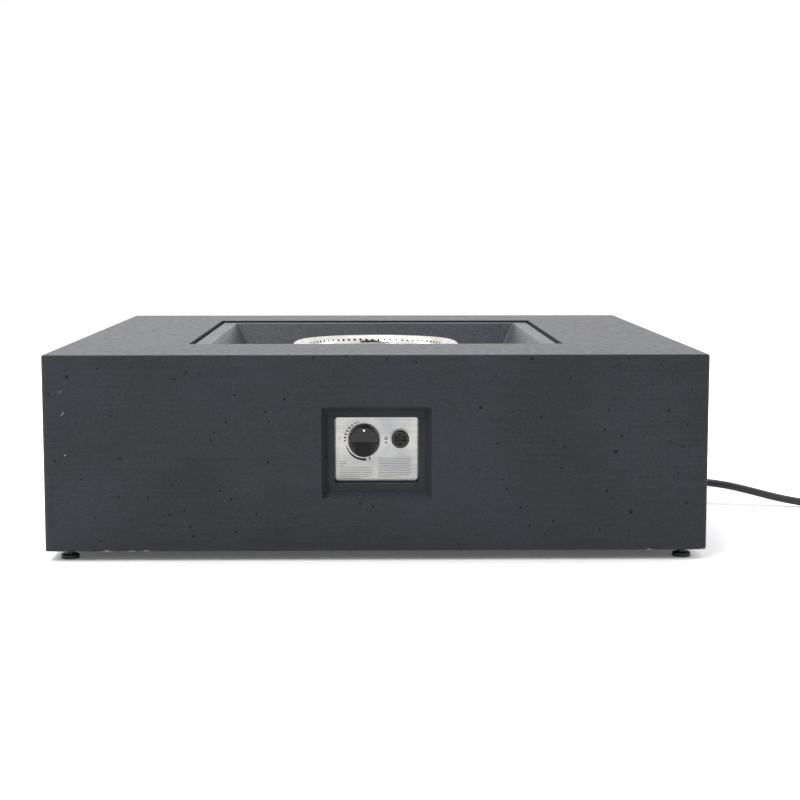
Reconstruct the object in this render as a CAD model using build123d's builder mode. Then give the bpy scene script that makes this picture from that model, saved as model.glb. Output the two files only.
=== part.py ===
"""Square concrete gas fire table: casing, drop-in fire bowl, ring burner, front controls and bottle hose.

Sizes are in millimetres. +Z is up and the control panel faces -Y. The origin is on the ground,
under the middle of the casing. Every piece is a solid of its own, written to parts/.
"""
import os
from math import atan2, cos, degrees, pi, radians, sin, sqrt, tan

from build123d import *

os.makedirs("parts", exist_ok=True)

# ---------------------------------------------------------------- driving dimensions

# Fits
running_clearance = 0.05  # radial play of a shaft that turns or slides in its bore
loose_clearance = 0.3  # play between pieces that pass each other
cover = 1.0  # how far a cutter reaches past the face it cuts

# Casing, one hollow casting in fibre-reinforced concrete, open underneath
casing_width = 890.0
casing_height = 264.0
casing_wall = 16.0
casing_top_thickness = 18.0
casing_corner_radius = 7.0
casing_edge_radius = 3.0
top_crown = 1.2  # rise of the top from its outer edge to the opening, for rain
opening_width = 536.0
opening_edge_radius = 1.0
opening_corner_radius = 2.0
ledge_reach = 18.0  # ledge inside the opening that carries the bowl
ledge_thickness = 20.0

# Levelling feet
foot_gap = 14.0  # height of the casing above the ground
foot_inset = 29.0  # foot axis to the casing's side
foot_pad_radius = 12.5
foot_pad_height = 5.5
foot_pad_edge_radius = 1.6
foot_collar_radius = 6.5
foot_stud_radius = 4.0
foot_stud_length = 30.0
foot_insert_radius = 7.0
foot_insert_length = 34.0
foot_boss_reach = 26.0
foot_boss_height = 50.0

# Fire bowl, a square concrete funnel that drops into the opening
bowl_gap = 4.0  # gap between the bowl's rim and the opening
bowl_recess = 3.2  # rim below the opening's edge
bowl_rim_flat = 23.0
bowl_rim_thickness = 24.0
bowl_depth = 82.0  # rim to the seat of the burner pan
bowl_slope = 18.0 / 35.0  # run of the walls for each unit of depth
bowl_floor_thickness = 12.0
bowl_seat_width = 14.0
bowl_ledge_clearance = 3.0
bowl_edge_radius = 1.5
bowl_corner_radius = 3.0

# Burner pan, a steel plate that lies on the bowl's seat
pan_thickness = 2.0
pan_margin = 1.5  # pan edge to the bowl's wall
pan_screw_radius = 2.0
pan_screw_length = 9.0
pan_vent_radius = 6.0
pan_vent_circle = 160.0
pan_vent_count = 12

# Ring burner in stainless tube
ring_radius = 121.0  # centre line of the ring
ring_tube_radius = 14.0
ring_tube_wall = 1.4
ring_height = 54.5  # centre line above the pan
port_count = 68
port_radius = 2.0
port_inset = 12.0  # ports' circle inside the ring's centre line
ring_inlet_radius = 4.8
crossbar_radius = 6.2
crossbar_wall = 1.2
hub_radius = 17.0
hub_rise = 0.3  # hub's top over the crossbar's top
hub_height = 21.0
stem_radius = 10.5
stem_wall = 2.8
stem_length = 86.0  # from the hub's middle down
burner_nut_radius = 18.0
burner_nut_height = 8.0

# Air mixer and burner inlet under the pan
mixer_radius = 14.0
mixer_socket = 18.0
mixer_length = 58.0
mixer_bore_radius = 8.0
mixer_floor = 6.0
mixer_window_width = 10.0
mixer_window_height = 14.0
injector_radius = 5.0
burner_elbow_size = 18.0
burner_elbow_leg = 14.0

# Heat shield under the pan
shield_width = 300.0
shield_thickness = 1.2
shield_drop = 18.8  # pan underside to the shield's top
shield_stud_spacing = 250.0
shield_stud_radius = 2.5
shield_stud_length = 26.0
shield_spacer_radius = 5.0
shield_nut_radius = 5.0
shield_nut_height = 3.6
shield_mixer_gap = 3.0
lead_slot_length = 56.0
lead_slot_width = 26.0

# Niche and control panel in the front wall
niche_width = 147.4
niche_height = 124.3
niche_drop = 132.3  # casing's top to the niche's centre
niche_depth = 18.0  # face to the flat frame
niche_inner_width = 131.0
niche_inner_height = 110.0
niche_corner_radius = 3.0
niche_edge_radius = 1.5
niche_boss_margin = 18.0
niche_boss_depth = 45.0
panel_depth = 38.0  # casing's face to the panel's face
panel_width = 112.0
panel_height = 89.0
panel_rise = 1.0  # panel's centre above the niche's centre
panel_corner_radius = 4.0
panel_gap = 0.9
panel_thickness = 1.2
panel_flange_width = 150.0
panel_flange_height = 127.0
panel_screw_spacing_x = 134.0
panel_screw_spacing_z = 110.0
panel_screw_radius = 2.0
panel_screw_length = 10.0
panel_insert_radius = 3.2
panel_insert_length = 10.0
screw_head_radius = 3.8
screw_head_height = 2.4

# Control knob and gas valve
knob_x = -17.0
knob_rise = 12.0  # knob axis above the panel's centre
knob_base_radius = 22.2
knob_face_radius = 20.5
knob_skirt = 2.5
knob_projection = 20.0  # panel's face to the knob's face
knob_travel = 2.8
knob_edge_radius = 1.4
knob_wall = 2.6
knob_cavity_depth = 8.0
knob_boss_radius = 7.0
knob_scoop_radius = 42.0
knob_scoop_depth = 5.0  # at the straight edge across the face
knob_scoop_tilt = 11.0  # rise of the scoop's floor towards the rim, in degrees
stem_shaft_radius = 4.0
stem_shaft_in_knob = 9.0
valve_flange_radius = 19.0
valve_flange_thickness = 5.0
valve_barrel_radius = 12.0
valve_barrel_length = 16.0
valve_chamber_radius = 9.0
valve_front_wall = 2.5
valve_chamber_length = 16.0
valve_body_width = 40.0
valve_body_depth = 36.0
valve_body_height = 44.0
valve_screw_circle = 14.5
valve_screw_radius = 2.0
valve_screw_head = 3.2
valve_screw_head_height = 1.8
valve_port_radius = 9.0
valve_port_length = 11.0
shaft_reach = 13.0  # shaft behind the spring chamber
washer_radius = 8.6
washer_thickness = 1.5
washer_back = 2.3  # washer behind the chamber's front wall
valve_spring_radius = 6.6
valve_spring_wire = 0.7
valve_spring_turns = 5.0

# Push-button igniter with its battery
igniter_x = 32.0
igniter_rise = 14.0
igniter_barrel_radius = 10.5
igniter_barrel_length = 62.0
igniter_bore_radius = 7.6
igniter_flange_radius = 12.0
igniter_flange_thickness = 2.0
igniter_neck_radius = 9.5
igniter_rear_wall = 5.0
igniter_nut_radius = 15.0
igniter_nut_height = 4.0
igniter_terminal_radius = 2.0
igniter_terminal_length = 7.0
battery_radius = 7.25
battery_length = 50.5
battery_spring_length = 4.0
battery_spring_radius = 5.0
spring_wire = 0.4
cap_projection = 12.0  # panel's face to the cap's face
cap_lip = 1.8
cap_mouth_radius = 8.85
cap_edge_radius = 2.0
button_radius = 8.75
button_flange_radius = 9.3
button_flange_thickness = 1.2
button_proud = 0.8
button_travel = 2.0
button_spring_radius = 4.0
button_spring_turns = 5.0

# Flame supervision and ignition at the burner
probe_spacing = 32.0
probe_y = -86.0
probe_plate_thickness = 1.5
probe_plate_width = 48.0
probe_shelf_drop = 18.0  # shelf under the ring's centre line
probe_foot_length = 18.0
probe_web_offset = 14.5  # probes' line to the plate's upright web
probe_shelf_overhang = 10.0
electrode_radius = 4.0
electrode_tip_radius = 1.0
electrode_tip_length = 9.0
thermocouple_radius = 3.0
probe_top_rise = 4.0
probe_tail = 8.0  # probes under the pan
pan_probe_hole_radius = 5.5
lead_radius = 1.5
lead_bend = 9.0
lead_drop = 42.0  # straight run of the leads under the probes
lead_end_run = 21.0

# Gas pipes inside the casing
supply_pipe_radius = 5.0
supply_pipe_bend = 28.0
supply_pipe_inset = 53.0  # pipe to the right wall
feed_pipe_radius = 4.0
feed_pipe_bend = 30.0
feed_pipe_run = 40.0  # straight run behind the valve
pipe_nut_radius = 9.2
pipe_nut_length = 11.0
pipe_socket = 6.0
bracket_thickness = 2.0
bracket_width = 14.0
bracket_foot = 30.0
bracket_right_y = (-90.0, -260.0)
bracket_front_x = 200.0
bracket_screw_radius = 1.9
bracket_screw_length = 11.0
bracket_screw_height = 24.0  # screw above the pipe's centre line
elbow_size = 18.0
elbow_leg = 11.0
elbow_leg_radius = 7.0

# Hose, its bushing in the right wall, and the bottle regulator on its end
hose_radius = 6.0
hose_y = 22.0
hose_z = 34.0
bushing_hole_radius = 11.0
bushing_flange_radius = 15.0
bushing_flange_thickness = 4.0
ferrule_radius = 8.5
ferrule_length = 28.0
ferrule_grip = 16.0
coil_inner_turn = 49.0  # centre line of the innermost turn
coil_pitch = 12.0
coil_rings = 4
coil_layers = 2
coil_edge_radius = 4.0
coil_x = 825.0
coil_y = 18.0
regulator_x = 911.0
regulator_y = 164.0
regulator_radius = 31.0
regulator_socket_radius = 20.0
regulator_socket_height = 24.0
regulator_body_height = 22.0
regulator_dome = 6.0
regulator_bore_radius = 13.55
regulator_bore_depth = 18.0
regulator_port_z = 35.0
nozzle_radius = 5.0
nozzle_length = 11.0
seal_radius = 11.0
seal_thickness = 2.0
seal_recess = 0.4  # seal's face behind the bore's end
seal_hole_radius = 6.0
tap_boss_radius = 8.0
tap_boss_length = 4.0
tap_pin_radius = 4.0
tap_pin_length = 8.0
tap_radius = 12.0
tap_length = 11.0
tap_bar_width = 7.0
tap_bar_height = 5.0
clip_width = 9.0
clip_thickness = 2.0
clip_screw_size = 7.0

# ---------------------------------------------------------------- places worked out from them

casing_half = casing_width / 2
casing_inner_half = casing_half - casing_wall
casing_bottom_z = foot_gap
casing_top_z = foot_gap + casing_height
crest_z = casing_top_z + top_crown
front_y = -casing_half
foot_axis = casing_half - foot_inset

bowl_rim_z = crest_z - bowl_recess
bowl_rim_half = opening_width / 2 - bowl_gap
bowl_mouth_half = bowl_rim_half - bowl_rim_flat
ledge_z = bowl_rim_z - bowl_rim_thickness
ledge_half = opening_width / 2 - ledge_reach
seat_z = bowl_rim_z - bowl_depth
seat_half = bowl_mouth_half - bowl_depth * bowl_slope
bowl_bottom_z = seat_z - bowl_floor_thickness
floor_hole_half = seat_half - bowl_seat_width
bowl_outer_top_half = ledge_half - bowl_ledge_clearance
bowl_outer_bottom_half = bowl_outer_top_half - (ledge_z - bowl_bottom_z) * bowl_slope

pan_top_z = seat_z + pan_thickness
pan_half = seat_half - pan_margin
pan_screw_at = seat_half - bowl_seat_width / 2
ring_z = pan_top_z + ring_height
shield_top_z = seat_z - shield_drop
shield_bottom_z = shield_top_z - shield_thickness

stem_bottom_z = ring_z - stem_length
mixer_top_z = stem_bottom_z + mixer_socket
mixer_bottom_z = mixer_top_z - mixer_length
burner_elbow_z = mixer_bottom_z - burner_elbow_size / 2

niche_z = casing_top_z - niche_drop
niche_step_y = front_y + niche_depth
niche_back_y = front_y + niche_boss_depth
panel_y = front_y + panel_depth
panel_z = niche_z + panel_rise
panel_back_y = panel_y + panel_thickness
flange_back_y = niche_back_y + panel_thickness

knob_z = panel_z + knob_rise
knob_face_y = panel_y - knob_projection
knob_back_y = panel_y - knob_travel - loose_clearance
chamber_front_y = panel_back_y + valve_front_wall
chamber_back_y = chamber_front_y + valve_chamber_length
valve_flange_back_y = panel_back_y + valve_flange_thickness
valve_body_y = valve_flange_back_y + valve_barrel_length
valve_back_y = valve_body_y + valve_body_depth
valve_inlet_y = valve_body_y + valve_body_depth / 2
valve_inlet_z = knob_z - valve_body_height / 2 - valve_port_length
valve_outlet_y = valve_back_y + valve_port_length
shaft_front_y = knob_face_y + stem_shaft_in_knob
shaft_back_y = chamber_back_y + shaft_reach
washer_y = chamber_front_y + washer_back

igniter_z = panel_z + igniter_rise
igniter_flange_y = panel_y - igniter_flange_thickness
igniter_back_y = panel_y + igniter_barrel_length
bore_end_y = igniter_back_y - igniter_rear_wall
battery_back_y = bore_end_y - battery_spring_length
battery_front_y = battery_back_y - battery_length
cap_front_y = panel_y - cap_projection
cap_back_y = igniter_flange_y - loose_clearance
cap_lip_y = cap_front_y + cap_lip
button_front_y = cap_front_y - button_proud
button_flange_y = cap_lip_y + running_clearance
button_flange_back_y = button_flange_y + button_flange_thickness
igniter_neck_y = button_flange_back_y + button_travel + loose_clearance

electrode_x = probe_spacing / 2
thermocouple_x = -probe_spacing / 2
probe_top_z = ring_z + probe_top_rise
probe_bottom_z = seat_z - probe_tail
shelf_z = ring_z - probe_shelf_drop
web_y = probe_y + probe_web_offset

wall_inner_x = casing_inner_half
supply_pipe_x = wall_inner_x - supply_pipe_inset
hose_exit_x = casing_half + bushing_flange_thickness
hose_inner_x = wall_inner_x - bushing_flange_thickness - 1.0 - ferrule_grip
ferrule_front_x = hose_inner_x + ferrule_grip
ferrule_back_x = ferrule_front_x - ferrule_length
coil_top_z = hose_radius + coil_pitch * (coil_layers - 1)
coil_outer_turn = coil_inner_turn + coil_pitch * (coil_rings - 1)
nozzle_end_y = regulator_y - regulator_radius - nozzle_length

# Free hose from the bushing to the coil, and from the coil to the regulator
hose_exit_run = 30.0
nozzle_run = 25.0
hose_route = [
    (hose_exit_x, hose_y, hose_z),
    (hose_exit_x + hose_exit_run, hose_y, hose_z),
    (520.0, 8.5, 33.8),
    (562.0, -5.0, 30.8),
    (604.0, -17.5, 22.0),
    (645.0, -30.0, 12.4),
    (690.0, -43.5, hose_radius),
    (738.0, -56.0, hose_radius),
    (783.0, -64.5, hose_radius),
    (coil_x, coil_y - coil_outer_turn, hose_radius),
]
hose_end_route = [
    (coil_x + coil_outer_turn, coil_y, coil_top_z),
    (910.4, 46.0, 18.8),
    (910.8, 72.0, 26.8),
    (regulator_x, nozzle_end_y - nozzle_run, regulator_port_z),
    (regulator_x, nozzle_end_y, regulator_port_z),
]


# ---------------------------------------------------------------- helpers


def save(piece, name):
    """Label a finished piece and write its STEP file."""
    piece.part.label = name
    export_step(piece.part, f"parts/{name}.step")


def facing_front(x, y, z):
    """Plane whose normal points to the front (-Y), with +X to the right and +Z up."""
    return Plane(origin=(x, y, z), x_dir=(1, 0, 0), z_dir=(0, -1, 0))


def facing_back(x, y, z):
    """Plane whose normal points to the back (+Y)."""
    return Plane(origin=(x, y, z), x_dir=(-1, 0, 0), z_dir=(0, 1, 0))


def facing_right(x, y, z):
    """Plane whose normal points to the right (+X)."""
    return Plane(origin=(x, y, z), x_dir=(0, 1, 0), z_dir=(1, 0, 0))


def bend_radii(points):
    """Radius of the arc at each corner: 0.45 of the shorter run over the tangent of half the turn."""
    radii = []
    for before, corner, after in zip(points, points[1:], points[2:]):
        run_in = Vector(*corner) - Vector(*before)
        run_out = Vector(*after) - Vector(*corner)
        half_turn = radians(run_in.get_angle(run_out)) / 2
        radii.append(0.45 * min(run_in.length, run_out.length) / tan(half_turn))
    return radii


def tube_along(points, radii, radius):
    """Solid round bar that follows straight runs joined by tangent arcs."""
    with BuildPart(mode=Mode.PRIVATE) as bar:
        with BuildLine() as path:
            FilletPolyline(*points, radius=radii)
        with BuildSketch(Plane(origin=path.line @ 0, z_dir=path.line % 0)):
            Circle(radius)
        sweep(path=path.line)
    return bar.part


# ---------------------------------------------------------------- casing

with BuildPart() as casing:
    with BuildSketch(Plane.XY.offset(casing_bottom_z)):
        RectangleRounded(casing_width, casing_width, casing_corner_radius)
    extrude(amount=casing_height)
    fillet(casing.faces().sort_by(Axis.Z)[-1].edges(), casing_edge_radius)
    # crowned top
    flat_width = casing_width - 2 * casing_edge_radius
    with BuildSketch(Plane.XY.offset(casing_top_z)):
        RectangleRounded(flat_width, flat_width, casing_corner_radius - casing_edge_radius)
    with BuildSketch(Plane.XY.offset(crest_z)):
        RectangleRounded(opening_width, opening_width, opening_corner_radius)
    loft()
    # hollow underneath
    with BuildSketch(Plane.XY.offset(casing_bottom_z)):
        Rectangle(2 * casing_inner_half, 2 * casing_inner_half)
    extrude(amount=casing_height - casing_top_thickness, mode=Mode.SUBTRACT)
    # curb and ledge round the opening
    curb_bottom_z = ledge_z - ledge_thickness
    with BuildSketch(Plane.XY.offset(curb_bottom_z)):
        Rectangle(opening_width + 2 * casing_wall, opening_width + 2 * casing_wall)
    extrude(amount=casing_top_z - casing_top_thickness - curb_bottom_z)
    with BuildSketch(Plane.XY.offset(curb_bottom_z)):
        Rectangle(2 * ledge_half, 2 * ledge_half)
    extrude(amount=crest_z - curb_bottom_z + cover, mode=Mode.SUBTRACT)
    with BuildSketch(Plane.XY.offset(ledge_z)):
        RectangleRounded(opening_width, opening_width, opening_corner_radius)
    extrude(amount=crest_z - ledge_z + cover, mode=Mode.SUBTRACT)
    fillet(casing.edges().group_by(Axis.Z)[-1], opening_edge_radius)
    # bosses for the feet
    boss_outer = casing_half - casing_wall / 2
    boss_inner = foot_axis - foot_boss_reach
    with BuildSketch(Plane.XY.offset(casing_bottom_z)):
        with GridLocations(boss_outer + boss_inner, boss_outer + boss_inner, 2, 2):
            Rectangle(boss_outer - boss_inner, boss_outer - boss_inner)
    extrude(amount=foot_boss_height)
    with BuildSketch(Plane.XY.offset(casing_bottom_z)):
        with GridLocations(2 * foot_axis, 2 * foot_axis, 2, 2):
            Circle(foot_insert_radius)
    extrude(amount=foot_insert_length, mode=Mode.SUBTRACT)
    # boss and niche for the controls
    with BuildSketch(facing_front(0, niche_back_y, niche_z)):
        Rectangle(niche_width + 2 * niche_boss_margin, niche_height + 2 * niche_boss_margin)
    extrude(amount=niche_boss_depth - casing_wall / 2)
    with BuildSketch(facing_front(0, front_y, niche_z)):
        RectangleRounded(niche_width, niche_height, niche_corner_radius)
    with BuildSketch(facing_front(0, niche_step_y, niche_z)):
        RectangleRounded(niche_inner_width, niche_inner_height, niche_corner_radius)
    loft(mode=Mode.SUBTRACT)
    with BuildSketch(facing_front(0, niche_step_y, panel_z)):
        RectangleRounded(
            panel_width + 2 * panel_gap, panel_height + 2 * panel_gap, panel_corner_radius + panel_gap
        )
    extrude(amount=niche_depth - niche_boss_depth, mode=Mode.SUBTRACT)
    niche_mouth = casing.edges().filter_by(
        lambda edge: abs(edge.center().Y - front_y) < 0.01 and abs(edge.center().X) < niche_width
    ).filter_by(lambda edge: abs(edge.center().Z - niche_z) < niche_height * 0.6)
    fillet(niche_mouth, niche_edge_radius)
    with BuildSketch(facing_front(0, niche_back_y, panel_z)):
        with GridLocations(panel_screw_spacing_x, panel_screw_spacing_z, 2, 2):
            Circle(panel_insert_radius)
    extrude(amount=panel_insert_length, mode=Mode.SUBTRACT)
    # hole for the hose, and screw holes for the pipe brackets
    with BuildSketch(facing_right(wall_inner_x - cover, hose_y, hose_z)):
        Circle(bushing_hole_radius)
    extrude(amount=casing_wall + 2 * cover, mode=Mode.SUBTRACT)
    with BuildSketch(facing_right(wall_inner_x, 0, hose_z + bracket_screw_height)):
        with Locations(*[(y, 0) for y in bracket_right_y]):
            Circle(bracket_screw_radius)
    extrude(amount=bracket_screw_length, mode=Mode.SUBTRACT)
    with BuildSketch(facing_front(bracket_front_x, -casing_inner_half, hose_z + bracket_screw_height)):
        Circle(bracket_screw_radius)
    extrude(amount=bracket_screw_length, mode=Mode.SUBTRACT)
save(casing, "casing")

# ---------------------------------------------------------------- feet

with BuildPart() as foot_inserts:
    with BuildSketch(Plane.XY.offset(casing_bottom_z)):
        with GridLocations(2 * foot_axis, 2 * foot_axis, 2, 2):
            Circle(foot_insert_radius)
            Circle(foot_stud_radius + running_clearance, mode=Mode.SUBTRACT)
    extrude(amount=foot_insert_length)
save(foot_inserts, "foot_inserts")

foot_places = {
    "foot_front_left": (-foot_axis, -foot_axis),
    "foot_front_right": (foot_axis, -foot_axis),
    "foot_back_left": (-foot_axis, foot_axis),
    "foot_back_right": (foot_axis, foot_axis),
}
for foot_name, (foot_x, foot_y) in foot_places.items():
    with BuildPart() as foot:
        with BuildSketch(Plane(origin=(foot_x, foot_y, 0))):
            Circle(foot_pad_radius)
        extrude(amount=foot_pad_height)
        fillet(foot.edges().filter_by(GeomType.CIRCLE).sort_by(Axis.Z)[-1], foot_pad_edge_radius)
        with BuildSketch(Plane(origin=(foot_x, foot_y, foot_pad_height))):
            RegularPolygon(foot_collar_radius, 6)
        extrude(amount=foot_gap - foot_pad_height)
        with BuildSketch(Plane(origin=(foot_x, foot_y, foot_gap))):
            Circle(foot_stud_radius)
        extrude(amount=foot_stud_length)
    save(foot, foot_name)

# ---------------------------------------------------------------- fire bowl and pan

with BuildPart() as fire_bowl:
    with BuildSketch(Plane.XY.offset(bowl_bottom_z)):
        Rectangle(2 * bowl_outer_bottom_half, 2 * bowl_outer_bottom_half)
    with BuildSketch(Plane.XY.offset(ledge_z)):
        Rectangle(2 * bowl_outer_top_half, 2 * bowl_outer_top_half)
    loft()
    with BuildSketch(Plane.XY.offset(ledge_z)):
        Rectangle(2 * bowl_rim_half, 2 * bowl_rim_half)
    extrude(amount=bowl_rim_thickness)
    with BuildSketch(Plane.XY.offset(seat_z)):
        Rectangle(2 * seat_half, 2 * seat_half)
    with BuildSketch(Plane.XY.offset(bowl_rim_z)):
        Rectangle(2 * bowl_mouth_half, 2 * bowl_mouth_half)
    loft(mode=Mode.SUBTRACT)
    slope_corners = fire_bowl.edges().filter_by(
        lambda edge: seat_z < edge.center().Z < bowl_rim_z
        and abs(abs(edge.center().X) - (seat_half + bowl_mouth_half) / 2) < 1.0
        and abs(abs(edge.center().Y) - (seat_half + bowl_mouth_half) / 2) < 1.0
    )
    fillet(slope_corners, bowl_corner_radius)
    fillet(fire_bowl.faces().sort_by(Axis.Z)[-1].edges(), bowl_edge_radius)
    with BuildSketch(Plane.XY.offset(bowl_bottom_z)):
        Rectangle(2 * floor_hole_half, 2 * floor_hole_half)
    extrude(amount=bowl_floor_thickness + cover, mode=Mode.SUBTRACT)
    with BuildSketch(Plane.XY.offset(seat_z)):
        with GridLocations(2 * pan_screw_at, 2 * pan_screw_at, 2, 2):
            Circle(pan_screw_radius)
    extrude(amount=-(pan_screw_length - pan_thickness), mode=Mode.SUBTRACT)
save(fire_bowl, "fire_bowl")

with BuildPart() as burner_pan:
    with BuildSketch(Plane.XY.offset(seat_z)):
        Rectangle(2 * pan_half, 2 * pan_half)
        Circle(stem_radius + loose_clearance, mode=Mode.SUBTRACT)
        with GridLocations(2 * pan_screw_at, 2 * pan_screw_at, 2, 2):
            Circle(pan_screw_radius + running_clearance, mode=Mode.SUBTRACT)
        with PolarLocations(pan_vent_circle, pan_vent_count, start_angle=180 / pan_vent_count):
            Circle(pan_vent_radius, mode=Mode.SUBTRACT)
        with Locations((electrode_x, probe_y), (thermocouple_x, probe_y)):
            Circle(pan_probe_hole_radius, mode=Mode.SUBTRACT)
    extrude(amount=pan_thickness)
    # weld studs for the heat shield
    with BuildSketch(Plane.XY.offset(seat_z)):
        with GridLocations(shield_stud_spacing, shield_stud_spacing, 2, 2):
            Circle(shield_stud_radius)
    extrude(amount=-shield_stud_length)
save(burner_pan, "burner_pan")

with BuildPart() as pan_screws:
    with BuildSketch(Plane.XY.offset(pan_top_z)):
        with GridLocations(2 * pan_screw_at, 2 * pan_screw_at, 2, 2):
            Circle(screw_head_radius)
    extrude(amount=screw_head_height)
    with BuildSketch(Plane.XY.offset(pan_top_z)):
        with GridLocations(2 * pan_screw_at, 2 * pan_screw_at, 2, 2):
            Circle(pan_screw_radius)
    extrude(amount=-pan_screw_length)
save(pan_screws, "pan_screws")

with BuildPart() as heat_shield:
    with BuildSketch(Plane.XY.offset(shield_bottom_z)):
        Rectangle(shield_width, shield_width)
        Circle(mixer_radius + shield_mixer_gap, mode=Mode.SUBTRACT)
        with GridLocations(shield_stud_spacing, shield_stud_spacing, 2, 2):
            Circle(shield_stud_radius + running_clearance, mode=Mode.SUBTRACT)
        with Locations((0, probe_y)):
            Rectangle(lead_slot_length, lead_slot_width, mode=Mode.SUBTRACT)
    extrude(amount=shield_thickness)
save(heat_shield, "heat_shield")

with BuildPart() as shield_spacers:
    with BuildSketch(Plane.XY.offset(shield_top_z)):
        with GridLocations(shield_stud_spacing, shield_stud_spacing, 2, 2):
            Circle(shield_spacer_radius)
            Circle(shield_stud_radius + running_clearance, mode=Mode.SUBTRACT)
    extrude(amount=shield_drop)
save(shield_spacers, "shield_spacers")

with BuildPart() as shield_nuts:
    with BuildSketch(Plane.XY.offset(shield_bottom_z)):
        with GridLocations(shield_stud_spacing, shield_stud_spacing, 2, 2):
            RegularPolygon(shield_nut_radius, 6)
            Circle(shield_stud_radius, mode=Mode.SUBTRACT)
    extrude(amount=-shield_nut_height)
save(shield_nuts, "shield_nuts")

# ---------------------------------------------------------------- ring burner

port_rise = sqrt(ring_tube_radius**2 - port_inset**2)
port_tilt = atan2(port_rise, port_inset)
half_count = port_count // 2

# The ring is two half tubes that meet at the crossbar's ends
ring_halves = {"ring_back": (ring_radius, 0), "ring_front": (-ring_radius, half_count)}
for half_name, (start_x, first_port) in ring_halves.items():
    port_planes = []
    for port in range(first_port, first_port + half_count):
        turn = 2 * pi * (port + 0.5) / port_count
        port_circle = ring_radius - port_inset
        port_planes.append(
            Plane(
                origin=(port_circle * cos(turn), port_circle * sin(turn), ring_z + port_rise),
                z_dir=(-cos(port_tilt) * cos(turn), -cos(port_tilt) * sin(turn), sin(port_tilt)),
            )
        )
    with BuildPart() as ring_half:
        with BuildSketch(Plane.XZ):
            with Locations((start_x, ring_z)):
                Circle(ring_tube_radius)
                Circle(ring_tube_radius - ring_tube_wall, mode=Mode.SUBTRACT)
        revolve(axis=Axis.Z, revolution_arc=180)
        with Locations(*[plane.location for plane in port_planes]):
            Cylinder(port_radius, 4 * ring_tube_wall, mode=Mode.SUBTRACT)
        # gas inlets from the crossbar
        feed_start = ring_radius - ring_tube_radius - cover
        for side in (-1, 1):
            with Locations(Plane(origin=(side * feed_start, 0, ring_z), z_dir=(side, 0, 0)).location):
                Cylinder(
                    ring_inlet_radius,
                    ring_tube_radius,
                    align=(Align.CENTER, Align.CENTER, Align.MIN),
                    mode=Mode.SUBTRACT,
                )
    save(ring_half, half_name)

# Crossbar, hub and stem in one welding, its ends coped to the ring
with BuildPart() as burner_crossbar:
    with BuildSketch(facing_right(-ring_radius, 0, ring_z)):
        Circle(crossbar_radius)
    extrude(amount=2 * ring_radius)
    with BuildSketch(Plane.YZ):
        with Locations((ring_radius, ring_z)):
            Circle(ring_tube_radius)
    revolve(axis=Axis.Z, mode=Mode.SUBTRACT)
    with BuildSketch(Plane.XY.offset(ring_z + crossbar_radius + hub_rise)):
        Circle(hub_radius)
    extrude(amount=-hub_height)
    with BuildSketch(Plane.XY.offset(stem_bottom_z)):
        Circle(stem_radius)
    extrude(amount=stem_length)
    with BuildSketch(facing_right(-ring_radius, 0, ring_z)):
        Circle(crossbar_radius - crossbar_wall)
    extrude(amount=2 * ring_radius, mode=Mode.SUBTRACT)
    with BuildSketch(Plane.XY.offset(stem_bottom_z)):
        Circle(stem_radius - stem_wall)
    extrude(amount=stem_length, mode=Mode.SUBTRACT)
save(burner_crossbar, "burner_crossbar")

with BuildPart() as burner_nuts:
    for nut_z in (pan_top_z, seat_z - burner_nut_height):
        with BuildSketch(Plane.XY.offset(nut_z)):
            RegularPolygon(burner_nut_radius, 6)
            Circle(stem_radius, mode=Mode.SUBTRACT)
        extrude(amount=burner_nut_height)
save(burner_nuts, "burner_nuts")

with BuildPart() as air_mixer:
    with BuildSketch(Plane.XY.offset(mixer_bottom_z)):
        Circle(mixer_radius)
    extrude(amount=mixer_length)
    with BuildSketch(Plane.XY.offset(stem_bottom_z)):
        Circle(stem_radius + running_clearance)
    extrude(amount=mixer_socket, mode=Mode.SUBTRACT)
    with BuildSketch(Plane.XY.offset(mixer_bottom_z + mixer_floor)):
        Circle(mixer_bore_radius)
    extrude(amount=mixer_length - mixer_floor - mixer_socket, mode=Mode.SUBTRACT)
    with BuildSketch(Plane.XY.offset(mixer_bottom_z)):
        Circle(injector_radius)
    extrude(amount=mixer_floor, mode=Mode.SUBTRACT)
    window_z = mixer_bottom_z + mixer_floor + mixer_window_height
    with BuildSketch(facing_right(-mixer_radius - cover, 0, window_z)):
        RectangleRounded(mixer_window_width, mixer_window_height, mixer_window_width * 0.4)
    extrude(amount=2 * (mixer_radius + cover), mode=Mode.SUBTRACT)
save(air_mixer, "air_mixer")

with BuildPart() as burner_elbow:
    with BuildSketch(Plane.XY.offset(mixer_bottom_z - burner_elbow_size)):
        Rectangle(burner_elbow_size, burner_elbow_size)
    extrude(amount=burner_elbow_size)
    fillet(burner_elbow.edges().filter_by(Axis.X), burner_elbow_size * 0.12)
    with BuildSketch(Plane.XY.offset(mixer_bottom_z)):
        Circle(injector_radius)
    extrude(amount=mixer_floor)
    with BuildSketch(facing_front(0, -burner_elbow_size / 2, burner_elbow_z)):
        Circle(elbow_leg_radius)
    extrude(amount=burner_elbow_leg)
    with BuildSketch(facing_front(0, pipe_socket - burner_elbow_size / 2 - burner_elbow_leg, burner_elbow_z)):
        Circle(feed_pipe_radius + running_clearance)
    extrude(amount=pipe_socket, mode=Mode.SUBTRACT)
save(burner_elbow, "burner_elbow")

# ---------------------------------------------------------------- control panel

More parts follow.
